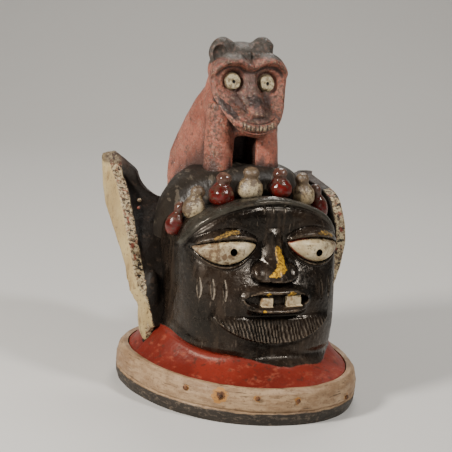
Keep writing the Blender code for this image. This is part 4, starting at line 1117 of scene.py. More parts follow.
def beast_eye_distance(x, z):
    return np.hypot(np.abs(x) - BEAST_EYE_OFFSET, z - BEAST_EYE_HEIGHT - BEAST_EYE_STEP * (x > 0))


def tooth_gaps(x):
    """1 in the gaps between the animal's teeth, which are uneven in width."""
    turn = 2 * np.pi * (x + 0.0006 * np.sin(x * 420.0)) / TEETH_PITCH
    return np.clip(np.cos(turn) * 1.3 - 0.35, 0.0, 1.0)


def teeth_height(x):
    """Middle of the row of teeth, following the jaw up at its ends."""
    return CHIN_HEIGHT + 0.0100 + 0.0082 * (np.abs(x) / 0.0255) ** 2.1


def beast_face(columns, rows):
    half = np.array(BEAST_OUTLINE)
    x = np.concatenate([half[:, 0], -half[-2:0:-1, 0]])
    z = np.concatenate([half[:, 1], half[-2:0:-1, 1]]) + CHIN_HEIGHT - BEAST_CENTRE_HEIGHT
    turn = np.unwrap(np.arctan2(x, -z))
    angle = around(columns)
    far = np.append(np.hypot(x, z), np.hypot(x[0], z[0]))
    reach = eased_loop(angle, np.append(turn, turn[0] + 2 * np.pi), far)
    rings = []
    for share in np.linspace(1.0 / rows, 1.0, rows) ** 0.85:
        across, height = swung(share * reach, angle, BEAST_CENTRE_HEIGHT)
        edge = 0.0035 * smooth_step(0.90, 1.0, share)
        relief = beast_relief(across, height) + beast_fine_relief(across, height)
        rings.append(np.column_stack([across, beast_plane(height) - relief + edge, height]))
    for share, depth in ((0.985, 0.30), (0.95, 0.6), (0.85, 1.0)):
        across, height = swung(share * reach, angle, BEAST_CENTRE_HEIGHT)
        rings.append(np.column_stack([across, beast_plane(height) + BEAST_FACE_THICK * depth, height]))
    middle = np.array(BEAST_CENTRE_HEIGHT)
    plane = float(beast_plane(middle))
    front = (0.0, plane - float(beast_relief(np.array(0.0), middle)), BEAST_CENTRE_HEIGHT)
    return loft("beast_face", rings, front, (0.0, plane + BEAST_FACE_THICK, BEAST_CENTRE_HEIGHT))


def eased_loop(angle, turn, far):
    """Reach of the outline in each direction, softened so that its corners are round."""
    raw = np.interp(angle, turn, far)
    for _ in range(6):
        raw = (np.roll(raw, 1) + raw * 2 + np.roll(raw, -1)) / 4
    return raw


def cut_ear_hollows(item, slots):
    """The animal's ears are cupped: one hollow faces forward, the other outward."""
    for name, place, radii in BEAST_EAR_HOLLOWS:
        add_form(item, ball(name, place, radii, -12, 32, 20), slots, BEAST, "DIFFERENCE")


def beast_piece(slots):
    joined = bpy.data.meshes.new("beast")
    join_meshes(joined, beast_forms())
    item = solid("beast", joined)
    blend(item, BEAST_FINE_VOXEL, 2)
    low = (LEG_GAP_SPAN[0], -LEG_GAP_DEPTH, LEG_FOOT - 0.020)
    high = (LEG_GAP_SPAN[1], LEG_GAP_DEPTH, LEG_GAP_TOP + 0.001)
    combine(item, solid("leg_gap", box("leg_gap", low, high)), "DIFFERENCE")
    blend(item, BEAST_FINE_VOXEL, 4)
    thin_out(item, BEAST_FINE_TRIANGLES)
    roughen(item.data, "animal")
    paint_all(item.data, slots, BEAST)
    add_form(item, beast_face(*BEAST_FACE_STEPS), slots, BEAST)
    cut_ear_hollows(item, slots)
    return item


def beast_forms():
    forms = [beast_body_mesh(*BEAST_BODY_STEPS)]
    for (start, end), lean in zip(LEG_SPANS, LEG_LEANS):
        middle = (start + end) / 2
        foot = (middle, LEG_Y, LEG_FOOT)
        top = (middle + lean, LEG_Y + 0.007, LEG_TOP)
        forms.append(post("leg", foot, top, ((end - start) / 2, LEG_HALF_DEPTH), LEG_TAPER))
    for name, (x, y, up), radii, turn in BEAST_FORMS:
        forms.append(ball(name, (x, y, CHIN_HEIGHT + up), radii, turn, 48, 28))
    return forms


def ear_piece(name, side, form, slots):
    item = solid(name, ear_mesh(name, side, form, *EAR_STEPS))
    thicken = item.modifiers.new("thicken", "SOLIDIFY")
    thicken.thickness = EAR_THICK
    thicken.offset = -1.0
    apply_modifiers(item)
    heel = (side * (form["front_x"][0][1] - EAR_HEEL_RADIUS * 0.25), EAR_HEEL_Y, EAR_HEEL_HEIGHT)
    heel = ball("ear_heel", heel, (EAR_HEEL_RADIUS, EAR_HEEL_RADIUS, EAR_HEEL_HEIGHT * 0.46))
    join_meshes(item.data, [item.data, heel])
    blend(item, EAR_FINE_VOXEL, 3)
    if side > 0:
        points = coordinates(item.data)
        points[:, 2] -= 0.4 * np.maximum(points[:, 2] - 0.196, 0.0)
        item.data.vertices.foreach_set("co", points.ravel())
    thin_out(item, EAR_FINE_TRIANGLES)
    roughen(item.data, "ear", side)
    paint_all(item.data, slots, EAR)
    return item


def fine_knob(step):
    """A bulb with a smaller one on top, a little uneven from knob to knob."""
    place, angle, radius, half = knob_place(step)
    wider, taller = KNOB_GROWTH.get(step, (1.0, 1.0))
    radius, half = radius * wider, half * taller
    height = np.linspace(-1.0, 1.0, 27)
    widths = eased(KNOB_WIDTHS, height) * radius
    profile = [(0, -half)] + list(zip(widths, height * half))[0:-1] + [(0, half)]
    lean = Matrix.Rotation(-angle * 0.22, 4, "Y")
    return turned(f"knob_{step + 4}", profile, KNOB_SIDES, place, lean)


def mask_piece(slots):
    head = solid("carved_mask", head_shell(*HEAD_STEPS))
    roughen(head.data, "head")
    paint_all(head.data, slots, HEAD)
    dome = dome_mesh(*DOME_STEPS)
    roughen(dome, "dome")
    add_form(head, dome, slots, HAIR)
    for step in KNOB_STEPS:
        knob = fine_knob(step)
        roughen(knob, "knob", step)
        add_form(head, knob, slots, RED_KNOB if step % 2 else WHITE_KNOB)
    for name, side, form in (("right_ear", -1, RIGHT_EAR), ("left_ear", 1, LEFT_EAR)):
        combine(head, ear_piece(name, side, form, slots), "UNION")
    for place, radius, index in STUDS:
        add_form(head, ball("stud", place, (radius * 1.1, radius, radius), 0, 20, 12), slots, index)
    combine(head, beast_piece(slots), "UNION")
    for offset, height in PUPILS:
        front, back = ((offset, y, height) for y in PUPIL_REACH)
        pupil = rod("pupil", front, back, PUPIL_RADIUS, 20)
        add_form(head, pupil, slots, HEAD, "DIFFERENCE")
    add_form(head, hollow_mesh(*HOLLOW_STEPS), slots, RAW_WOOD, "DIFFERENCE")
    return head


# Paint zones kept on the vertices


def keep(mesh, name, values, here=True, elsewhere=OUTSIDE):
    """Store a value on each vertex, with another value for all that isn't here."""
    attribute = mesh.attributes.new(name, "FLOAT", "POINT")
    attribute.data.foreach_set("value", np.asarray(np.where(here, values, elsewhere), np.float32))


def vertex_slots(mesh):
    """The material slot of each vertex, taken from its faces."""
    slot = np.zeros(len(mesh.vertices), int)
    index = np.zeros(len(mesh.polygons), int)
    mesh.polygons.foreach_get("material_index", index)
    total = np.zeros(len(mesh.polygons), int)
    mesh.polygons.foreach_get("loop_total", total)
    corner = np.zeros(len(mesh.loops), int)
    mesh.loops.foreach_get("vertex_index", corner)
    slot[corner] = np.repeat(index, total)
    return slot


def convexity(mesh, passes):
    """Above 0 on worn edges and below 0 in hollows."""
    edges = np.zeros(len(mesh.edges) * 2, int)
    mesh.edges.foreach_get("vertices", edges)
    a, b = edges.reshape(-1, 2).T
    points = coordinates(mesh)
    normals = coordinates(mesh, "normal")
    run = points[b] - points[a]
    length = np.maximum(np.linalg.norm(run, axis=1), 1e-6)
    size = len(points)
    count = np.maximum(np.bincount(a, minlength=size) + np.bincount(b, minlength=size), 1)
    bend_a = -np.einsum("ij,ij->i", run, normals[a]) / length
    bend_b = np.einsum("ij,ij->i", run, normals[b]) / length
    value = (np.bincount(a, bend_a, size) + np.bincount(b, bend_b, size)) / count
    for _ in range(passes):
        near = (np.bincount(a, value[b], size) + np.bincount(b, value[a], size)) / count
        value = (value + near) / 2
    return value


def keep_head_zones(mesh, x, y, z, here):
    front = here & (y < -0.030)
    u, above, open_share = eye_frame(x, z)
    keep(mesh, "eye", eye_zone(x, z), front)
    keep(mesh, "eye_out", u)
    keep(mesh, "eye_side", np.sign(x))
    pupil = np.minimum(*(np.hypot(x - offset, z - height) for offset, height in PUPILS))
    keep(mesh, "pupil", (PUPIL_RADIUS - pupil) * MM, y < 0.0)
    keep(mesh, "brim", (z - brim_height(x)) * MM, front, -60)
    worn = np.maximum(outline_zone(x, z, RIGHT_LID_WORN), outline_zone(x, z, LEFT_LID_WORN))
    keep(mesh, "lid", worn, front & (above > lid_edges(open_share)[0]))
    keep(mesh, "tooth", tooth_zone(x, z), front)
    gold = outline_zone(x, z, GOLD_STREAK)
    for place_x, place_z, radius in GOLD_SPOTS:
        spot = np.hypot((x - place_x) / 1.5, z - place_z)
        gold = np.maximum(gold, (radius - spot) * MM)
    keep(mesh, "gold", gold, front)
    keep(mesh, "beard", beard_zone(x, z), front)
    keep(mesh, "stroke", beard_wave(x, z))
    keep(mesh, "beard_fade", (BEARD_TOP - z) * MM / 7.0)
    keep(mesh, "cut", cuts_depth(x, z) * MM, front, 0)
    keep(mesh, "neck", neck_zone(x, y, z), here, 60)


def keep_ear_zones(mesh, x, y, z, here, normals):
    """The ear's outer plate, and its front edge with the worn paint."""
    side = np.where(x < 0, -1.0, 1.0)
    free_x, free_y = (
        np.where(x < 0, eased(RIGHT_EAR[line], z), eased(LEFT_EAR[line], z))
        for line in ("front_x", "front_y")
    )
    inward = (free_x - np.abs(x)) * MM
    keep(mesh, "ear_out", normals[:, 0] * side, here & (inward < 6.0), -1)
    band = EAR_THICK * MM * (0.38 + 0.48 * smooth_step(0.075, 0.135, z))
    keep(mesh, "ear_edge", np.minimum(5.0 - (y - free_y) * MM, band - inward), here)
    high = smooth_step(0.1960, 0.1995, z) * smooth_step(0.030, 0.050, y) * (x > 0)
    cap = smooth_step(0.2105, 0.2145, z) * (x < 0) * 0.8
    keep(mesh, "ear_high", np.maximum(high, cap), here, 0)


def knob_heights(x, z):
    """How high a point lies on its knob: -1 at the foot, 1 at the tip."""
    nearest = np.full_like(x, 1.0)
    height = np.zeros_like(x)
    for step in KNOB_STEPS:
        place, angle, radius, half = knob_place(step)
        off = np.abs(x - place.x)
        closer = off < nearest
        nearest = np.where(closer, off, nearest)
        height = np.where(closer, (z - place.z) / half, height)
    return np.clip(height, -1.0, 1.0)


def keep_beast_zones(mesh, x, y, z, here):
    up = z - CHIN_HEIGHT
    front = here & (y < 0.024) & (up > -0.001)
    eye = beast_eye_distance(x, z)
    keep(mesh, "beast_eye", (BEAST_EYE_RADIUS * 1.03 - eye) * MM, front)
    keep(mesh, "beast_pupil", (BEAST_PUPIL_RADIUS - eye) * MM, front)
    row = TEETH_HALF_HEIGHT - np.abs(z - teeth_height(x))
    keep(mesh, "beast_teeth", np.minimum(row, TEETH_HALF_LENGTH - np.abs(x)) * MM, front)
    keep(mesh, "beast_gap", tooth_gaps(x))
    stain = (1 - np.hypot((x + 0.0015) / 0.0080, (z - 0.2965) / 0.0056)) * 2.2
    keep(mesh, "beast_patch", np.maximum(outline_zone(x, z, CHEEK_PATCH), stain), front)
    back = (up - 0.0765) * MM + np.clip((y - 0.020) * 500, 0, 10)
    keep(mesh, "beast_top", back, here & (up > 0.060))
    snout = remainder(np.abs(x) / 0.018) * between(up, 0.016, 0.028, 0.050, 0.066)
    brow = bead(up - eased(BROW_LINE, np.abs(x)), 0.003, 0.012, np.where(x < 0.0, 1.0, 0.6))
    inner = 1 - smooth_step(0.50, 0.86, np.hypot(x / 0.041, (up - 0.040) / 0.040))
    keep(mesh, "beast_dusky", np.maximum(np.maximum(snout, brow), inner), front, 0)
    aged = 0.35 + 0.65 * smooth_step(-0.004, 0.010, up) * smooth_step(0.030, 0.010, y)
    leg = np.exp(-(((x + 0.0400) / 0.012) ** 2)) * smooth_step(0.035, 0.010, y)
    keep(mesh, "beast_aged", np.maximum(aged, leg), here, 0)


def keep_zones(mesh):
    x, y, z = coordinates(mesh).T
    slot = vertex_slots(mesh)
    keep_head_zones(mesh, x, y, z, slot == HEAD)
    keep_ear_zones(mesh, x, y, z, slot == EAR, coordinates(mesh, "normal"))
    keep_beast_zones(mesh, x, y, z, slot == BEAST)
    keep(mesh, "knob_up", knob_heights(x, z))
    # Fine convexity: worn paint on the edges, and painted shade in the animal's creases
    keep(mesh, "edge_wear_and_crease_shade", convexity(mesh, 2))
    # Broad convexity, which the paints darken in the hollows as painted shade
    keep(mesh, "hollow", convexity(mesh, 24))


# Procedural paint


class Paint:
    """Small helper that builds one material's nodes."""

    def __init__(self, name):
        self.material = bpy.data.materials.new(name)
        self.material.use_nodes = True
        self.tree = self.material.node_tree
        self.shader = self.tree.nodes["Principled BSDF"]
        self.place = self.tree.nodes.new("ShaderNodeTexCoord").outputs["Object"]

    def link(self, value, socket):
        if isinstance(value, bpy.types.NodeSocket):
            self.tree.links.new(value, socket)
        else:
            socket.default_value = value

    def node(self, kind, inputs, **settings):
        """New node with its settings, each input linked to a socket or set to a number."""
        node = self.tree.nodes.new(kind)
        for setting, choice in settings.items():
            setattr(node, setting, choice)
        for socket, value in inputs.items():
            self.link(value, node.inputs[socket])
        return node

    def zone(self, name):
        return self.node("ShaderNodeAttribute", {}, attribute_name=name).outputs["Fac"]

    def noise(self, scale, detail=5.0, rough=0.6, stretch=None):
        place = self.place
        if stretch:
            place = self.node("ShaderNodeMapping", {"Scale": stretch, "Vector": place}).outputs["Vector"]
        inputs = {"Vector": place, "Scale": scale, "Detail": detail, "Roughness": rough}
        return self.node("ShaderNodeTexNoise", inputs).outputs["Fac"]

    def math(self, operation, a, b=0.0):
        return self.node("ShaderNodeMath", {0: a, 1: b}, operation=operation).outputs[0]

    def times(self, a, b):
        return self.math("MULTIPLY", a, b)

    def plus(self, a, b):
        return self.math("ADD", a, b)

    def jitter(self, scale, reach, detail=5.0):
        """Noise about zero, to make the edge of a zone ragged."""
        return self.times(self.math("SUBTRACT", self.noise(scale, detail, 0.68), 0.5), reach)

    def ragged(self, name, scale, reach, detail=5.0):
        """A zone with a ragged edge."""
        return self.plus(self.zone(name), self.jitter(scale, reach, detail))

    def band(self, value, low, high, start=0.0, end=1.0):
        """Smooth step from start to end as the value goes from low to high."""
        inputs = {"Value": value, "From Min": low, "From Max": high, "To Min": start, "To Max": end}
        return self.node("ShaderNodeMapRange", inputs, interpolation_type="SMOOTHSTEP").outputs["Result"]

    def spots(self, scale, detail, rough, low, high, start=0.0, end=1.0, stretch=None):
        """Noise sharpened into spots, which are the places above the two thresholds."""
        return self.band(self.noise(scale, detail, rough, stretch), low, high, start, end)

    def mix(self, share, a, b):
        a, b = (tone if isinstance(tone, bpy.types.NodeSocket) else (*tone, 1.0) for tone in (a, b))
        return self.node("ShaderNodeMix", {0: share, 6: a, 7: b}, data_type="RGBA").outputs[2]

    def flecked(self, base, tone, *spots):
        """The base colour with spots of another tone."""
        return self.mix(self.spots(*spots), base, tone)

    def blend(self, share, a, b):
        """Plain number between a and b."""
        return self.node("ShaderNodeMix", {0: share, 2: a, 3: b}).outputs[0]

    def bump(self, height, distance, strength=1.0, normal=None):
        inputs = {"Height": height, "Distance": distance, "Strength": strength}
        if normal is not None:
            inputs["Normal"] = normal
        return self.node("ShaderNodeBump", inputs).outputs["Normal"]

    def finish(self, colour, roughness, normal, specular=0.5):
        self.link(colour, self.shader.inputs["Base Color"])
        self.link(roughness, self.shader.inputs["Roughness"])
        self.link(normal, self.shader.inputs["Normal"])
        self.shader.inputs["Specular IOR Level"].default_value = specular
        return self.material


def black_wood(p, large, fine, grain):
    """Black of the head: worn edges and scratches, the brim, the beard's ridges with painted shade at
    their top, painted highlights along the cuts and painted shade in the hollows.
    """
    black = p.mix(p.band(large, 0.38, 0.62), (0.0035, 0.0027, 0.0022), (0.0190, 0.0120, 0.0080))
    black = p.mix(p.band(grain, 0.52, 0.66, 0.0, 0.40), black, (0.052, 0.034, 0.022))
    black = p.flecked(black, (0.080, 0.058, 0.040), 420, 5, 0.7, 0.57, 0.64, 0.0, 0.35)
    scratch = p.spots(420, 2, 0.5, 0.62, 0.68, 0.0, 0.30, UPRIGHT_GRAIN)
    black = p.mix(p.times(scratch, p.spots(30, 3, 0.6, 0.48, 0.60)), black, (0.19, 0.15, 0.115))
    rubbed = p.times(p.band(p.zone("edge_wear_and_crease_shade"), 0.05, 0.25), p.band(fine, 0.40, 0.60))
    black = p.mix(rubbed, black, (0.17, 0.125, 0.085))
    brim = p.band(p.ragged("brim", 60, 5.0), -4.5, -2.0)
    brim = p.times(brim, p.spots(90, 6, 0.75, 0.36, 0.60, 0.25, 0.9))
    black = p.mix(brim, black, (0.040, 0.038, 0.030))
    # The beard's ridges take a lighter tone, which fades out near the beard's top as painted shade under
    # the lower lip.
    beard = p.times(p.band(p.zone("beard"), -0.2, 0.6), p.band(p.zone("beard_fade"), 0.0, 1.0, 0.15, 1.0))
    ridge = p.times(beard, p.band(p.zone("stroke"), 0.35, 0.0))
    ridge = p.times(ridge, p.spots(140, 4, 0.6, 0.36, 0.60, 0.15, 0.9))
    black = p.mix(ridge, black, (0.130, 0.105, 0.080))
    # Painted highlights: a light tone on the walls of the cheek cuts and the nicks, weaker in their
    # bottoms.
    cut = p.zone("cut")
    cut = p.times(p.band(cut, 0.10, 0.55), p.band(cut, 1.9, 1.1, 0.15, 1.0))
    cut = p.times(cut, p.spots(120, 4, 0.65, 0.40, 0.58, 0.05, 0.9))
    black = p.mix(cut, black, (0.25, 0.21, 0.165))
    # Painted shade: the black turns darker still in the hollows of the carving.
    shade_in_hollows = p.band(p.zone("hollow"), -0.006, -0.045, 0.0, 0.85)
    return p.mix(shade_in_hollows, black, (0.0035, 0.0028, 0.0024))


def red_collar(p, large):
    red = p.mix(p.band(large, 0.40, 0.62), (0.130, 0.012, 0.007), (0.205, 0.022, 0.012))
    red = p.flecked(red, (0.33, 0.085, 0.045), 60, 7, 0.72, 0.53, 0.64, 0.0, 0.5, (1.0, 1.0, 2.6))
    return p.flecked(red, (0.060, 0.020, 0.013), 130, 6, 0.72, 0.55, 0.64, 0.0, 0.75)


def eye_ivory(p, eye):
    """Ivory of the eyes: stained outwards, dark at the rim and red in one inner corner."""
    outer = p.zone("eye_out")
    side = p.zone("eye_side")
    ivory = p.mix(p.spots(60, 6, 0.7, 0.40, 0.62), (0.62, 0.54, 0.36), (0.44, 0.34, 0.19))
    stain = p.plus(p.plus(outer, p.jitter(110, 4.5, 6)), p.jitter(38, 3.5, 3))
    stain = p.math("SUBTRACT", stain, p.band(side, -1.0, 1.0, 0.0, 0.7))
    stain = p.times(p.band(stain, -0.70, 0.15), p.spots(140, 5, 0.7, 0.42, 0.56, 0.5, 1.0))
    ivory = p.mix(stain, ivory, (0.140, 0.088, 0.050))
    specks = p.plus(p.times(outer, 0.025), p.noise(330, 6, 0.75))
    ivory = p.mix(p.band(specks, 0.56, 0.62, 0.0, 0.8), ivory, (0.085, 0.052, 0.033))
    edge = p.plus(eye, p.jitter(120, 1.6))
    ivory = p.mix(p.band(edge, 1.3, 0.2, 0.0, 0.8), ivory, (0.150, 0.095, 0.055))
    inner = p.times(p.band(outer, 0.00, -0.50), p.band(side, 0.0, 1.0))
    inner = p.times(inner, p.spots(150, 4, 0.6, 0.36, 0.52, 0.2, 1.0))
    return p.mix(p.times(p.band(edge, 1.9, 0.6), inner), ivory, (0.230, 0.030, 0.018))


def head_paint():
    p = Paint("head_black")
    large = p.noise(14, 4)
    fine = p.noise(160, 6, 0.7)
    grain = p.noise(60, 5, 0.65, UPRIGHT_GRAIN)
    neck = p.ragged("neck", 75, 3.2)
    eye = p.zone("eye")
    pupil = p.zone("pupil")
    colour = p.mix(p.band(neck, -0.5, 0.5), red_collar(p, large), black_wood(p, large, fine, grain))
    colour = p.mix(p.band(eye, -0.35, 0.35), colour, eye_ivory(p, eye))
    ring = p.band(p.math("ABSOLUTE", p.plus(eye, 0.9)), 1.1, 0.5, 0.0, 0.9)
    colour = p.mix(ring, colour, (0.006, 0.0065, 0.006))
    # Painted shade: the walls of the pierced pupils are near-black, standing in for the dark inside the
    # holes.
    colour = p.mix(p.band(pupil, -0.7, -0.25), colour, (0.002, 0.002, 0.002))
    ochre = p.mix(p.spots(420, 5, 0.7, 0.44, 0.56), (0.62, 0.34, 0.018), (0.16, 0.085, 0.018))
    colour = p.mix(p.band(p.ragged("gold", 150, 8.0, 6), 0.1, 0.7), colour, ochre)
    crust = p.mix(p.spots(420, 5, 0.7, 0.44, 0.54), (0.34, 0.20, 0.045), (0.070, 0.046, 0.022))
    colour = p.mix(p.band(p.ragged("lid", 200, 4.0, 6), -0.3, 0.6, 0.0, 0.92), colour, crust)
    tooth = p.mix(p.spots(110, 5, 0.7, 0.42, 0.64), (0.60, 0.49, 0.31), (0.26, 0.165, 0.085))
    colour = p.mix(p.band(p.zone("tooth"), -0.2, 0.4), colour, tooth)
    gloss = p.spots(70, 6, 0.7, 0.42, 0.58, 0.16, 0.36)
    gloss = p.blend(p.band(grain, 0.52, 0.66, 0.0, 0.6), gloss, 0.50)
    gloss = p.blend(p.band(neck, 0.5, -0.5), gloss, 0.42)
    gloss = p.blend(p.band(p.math("ABSOLUTE", p.plus(eye, 2.4)), 2.4, 1.2), gloss, 0.15)
    gloss = p.blend(p.band(eye, -0.3, 0.3), gloss, 0.36)
    gloss = p.blend(p.band(pupil, -0.7, -0.25), gloss, 0.9)
    lines = p.bump(grain, 0.0008, 0.6, p.bump(p.noise(42, 3, 0.55), 0.0022, 0.7))
    pits = p.bump(p.noise(190, 4, 0.62), 0.0007, 0.6, lines)
    p.shader.inputs["Specular Tint"].default_value = (1.0, 0.90, 0.78, 1.0)
    # No specular in the pupils, so that they stay dark as painted shade.
    p.link(p.band(pupil, -0.7, -0.25, 0.36, 0.0), p.shader.inputs["Specular IOR Level"])
    return p.finish(colour, gloss, p.bump(fine, 0.0003, 0.4, pits), 0.36)


def ear_paint():
    p = Paint("ear_paint")
    black = p.mix(p.noise(40, 5), (0.0045, 0.0036, 0.0030), (0.020, 0.014, 0.010))
    black = p.flecked(black, (0.060, 0.038, 0.026), 160, 5, 0.7, 0.56, 0.64, 0.0, 0.5)
    cream = p.mix(p.spots(18, 5, 0.6, 0.38, 0.62), (0.50, 0.385, 0.190), (0.39, 0.28, 0.130))
    cream = p.flecked(cream, (0.20, 0.125, 0.060), 110, 6, 0.7, 0.54, 0.64, 0.0, 0.6, (1.0, 1.0, 0.35))
    cream = p.flecked(cream, (0.080, 0.050, 0.030), 330, 6, 0.75, 0.58, 0.63, 0.0, 0.8)
    worn = p.mix(p.spots(330, 6, 0.75, 0.46, 0.56), (0.50, 0.41, 0.25), (0.150, 0.095, 0.055))
    worn = p.flecked(worn, (0.024, 0.017, 0.013), 230, 6, 0.7, 0.52, 0.57)
    worn = p.flecked(worn, (0.19, 0.036, 0.022), 130, 5, 0.7, 0.57, 0.62, 0.0, 0.8)
    colour = p.mix(p.band(p.ragged("ear_edge", 90, 7.0), -0.6, 0.8), black, worn)
    colour = p.mix(p.band(p.ragged("ear_out", 120, 0.35), 0.45, 0.62), colour, cream)
    crest = p.times(p.zone("ear_high"), p.spots(70, 5, 0.7, 0.30, 0.55, 0.55, 1.0))
    colour = p.mix(crest, colour, (0.050, 0.030, 0.022))
    rough = p.spots(90, 4, 0.6, 0.40, 0.60, 0.42, 0.60)
    return p.finish(colour, rough, p.bump(p.noise(170, 6, 0.7), 0.0014, 0.8), 0.25)


def beast_pink(p, eye):
    """Pink of the animal: dusky and chipped where it is aged, with painted shade in its hollows and
    creases.
    """
    aged = p.zone("beast_aged")
    edge = p.zone("edge_wear_and_crease_shade")
    pink = p.mix(p.spots(30, 5, 0.6, 0.40, 0.60), (0.440, 0.138, 0.088), (0.300, 0.086, 0.054))
    pink = p.flecked(pink, (0.50, 0.215, 0.140), 75, 5, 0.7, 0.50, 0.62, 0.0, 0.55)
    dusky = p.times(p.math("MAXIMUM", p.zone("beast_dusky"), p.times(aged, 0.40)), 0.92)
    dusky = p.times(dusky, p.spots(95, 6, 0.7, 0.40, 0.52, 0.35, 1.0))
    pink = p.mix(dusky, pink, (0.072, 0.037, 0.034))
    worn = p.times(p.band(edge, 0.0, 0.10, 0.35, 1.0), p.spots(380, 5, 0.72, 0.53, 0.60))
    pink = p.mix(p.times(worn, aged), pink, (0.46, 0.32, 0.20))
    specks = p.times(p.spots(300, 6, 0.75, 0.49, 0.54), aged)
    pink = p.mix(p.times(specks, 0.92), pink, (0.062, 0.038, 0.025))
    pink = p.flecked(pink, (0.060, 0.032, 0.024), 180, 5, 0.7, 0.58, 0.64, 0.0, 0.8, (1.0, 0.5, 0.5))
    # Painted shade in the hollows and the creases, weaker over the eyes.
    off_eye = p.band(eye, -6.0, -1.0, 1.0, 0.45)
    shade_in_hollows = p.times(p.band(p.zone("hollow"), -0.003, -0.035, 0.0, 0.92), off_eye)
    pink = p.mix(shade_in_hollows, pink, (0.056, 0.026, 0.020))
    shade_in_hollows = p.times(p.band(edge, -0.02, -0.16, 0.0, 0.85), off_eye)
    return p.mix(shade_in_hollows, pink, (0.030, 0.016, 0.012))


def beast_paint():
    p = Paint("animal_pink")
    eye = p.zone("beast_eye")
    grey = p.mix(p.noise(50, 5), (0.016, 0.014, 0.012), (0.070, 0.056, 0.042))
    grey = p.flecked(grey, (0.23, 0.125, 0.090), 230, 6, 0.75, 0.53, 0.60, 0.0, 0.55)
    colour = p.mix(p.band(p.ragged("beast_top", 60, 16.0), -2.0, 2.0), beast_pink(p, eye), grey)
    patch = p.ragged("beast_patch", 130, 9.0, 6)
    colour = p.mix(p.band(patch, -0.4, 1.0, 0.0, 0.88), colour, (0.024, 0.019, 0.018))
    ivory = p.mix(p.spots(330, 6, 0.75, 0.46, 0.56), (0.52, 0.44, 0.27), (0.20, 0.145, 0.078))
    # Painted shade: the ivory darkens towards the eye disc's rim, as shade from the socket.
    ivory = p.mix(p.band(eye, 1.8, 0.4, 0.0, 0.75), ivory, (0.12, 0.080, 0.048))
    colour = p.mix(p.band(eye, -0.4, 0.4), colour, ivory)
    colour = p.mix(p.band(p.zone("beast_pupil"), -0.4, 0.2), colour, (0.006, 0.005, 0.004))
    tooth = p.mix(p.spots(330, 5, 0.7, 0.42, 0.54), (0.44, 0.33, 0.21), (0.14, 0.080, 0.052))
    tooth = p.mix(p.band(p.zone("beast_gap"), 0.15, 0.6, 0.0, 0.95), tooth, (0.022, 0.015, 0.012))
    colour = p.mix(p.band(p.ragged("beast_teeth", 190, 11.0), 0.9, 1.8, 0.0, 0.9), colour, tooth)
    rough = p.blend(p.band(patch, -0.4, 1.0), p.spots(120, 5, 0.7, 0.42, 0.58, 0.20, 0.50), 0.20)
    chips = p.bump(p.noise(110, 6, 0.75), 0.0024, 0.8)
    return p.finish(colour, rough, p.bump(p.noise(340, 5, 0.72), 0.0012, 0.9, chips), 0.5)


def hair_paint():
    p = Paint("hair_black")
    marks = p.noise(170, 4, 0.6, (1.0, 0.30, 0.6))
    colour = p.mix(p.noise(30, 5), (0.0060, 0.0050, 0.0042), (0.034, 0.026, 0.019))
    colour = p.mix(p.band(marks, 0.55, 0.64, 0.0, 0.6), colour, (0.12, 0.098, 0.072))
    return p.finish(colour, p.spots(25, 4, 0.6, 0.3, 0.7, 0.35, 0.6), p.bump(marks, 0.0016, 0.9), 0.35)


def knob_paint(name, light, dark, grime, grime_share, rough, broken):
    """Paint of a knob: grimy on its smaller top bulb, with painted shade in its neck and round its foot.
    """
    p = Paint(name)
    colour = p.mix(p.spots(60, 5, 0.65, 0.35, 0.65), light, dark)
    high = p.plus(p.times(p.zone("knob_up"), 0.18), p.noise(190, 6, 0.74))
    colour = p.mix(p.band(high, 0.46, 0.55, 0.0, grime_share), colour, grime)
    worn = p.times(p.band(p.zone("edge_wear_and_crease_shade"), 0.03, 0.16), p.spots(140, 5, 0.7, 0.44, 0.58))
    colour = p.mix(p.times(worn, 0.25), colour, (0.32, 0.22, 0.15))
    colour = p.flecked(colour, (0.045, 0.030, 0.020), 300, 6, 0.78, 0.53, 0.59, 0.0, 0.8)
    # Painted shade in the knob's neck and round its foot.
    colour = p.mix(p.band(p.zone("hollow"), -0.01, -0.08, 0.0, 0.9), colour, (0.030, 0.019, 0.013))
    gloss = p.spots(70, 4, 0.6, 0.45, 0.65, rough, rough + 0.25)
    return p.finish(colour, gloss, p.bump(p.noise(150, 6, 0.7), broken, 0.7), 0.5)


def raw_wood_paint():
    p = Paint("raw_wood")
    ring = p.spots(30, 6, 0.6, 0.35, 0.65, stretch=(1.0, 1.0, 0.12))
    colour = p.mix(ring, (0.16, 0.095, 0.050), (0.075, 0.042, 0.022))
    return p.finish(colour, 0.75, p.bump(p.noise(26, 2, 0.4), 0.0030, 0.7), 0.3)


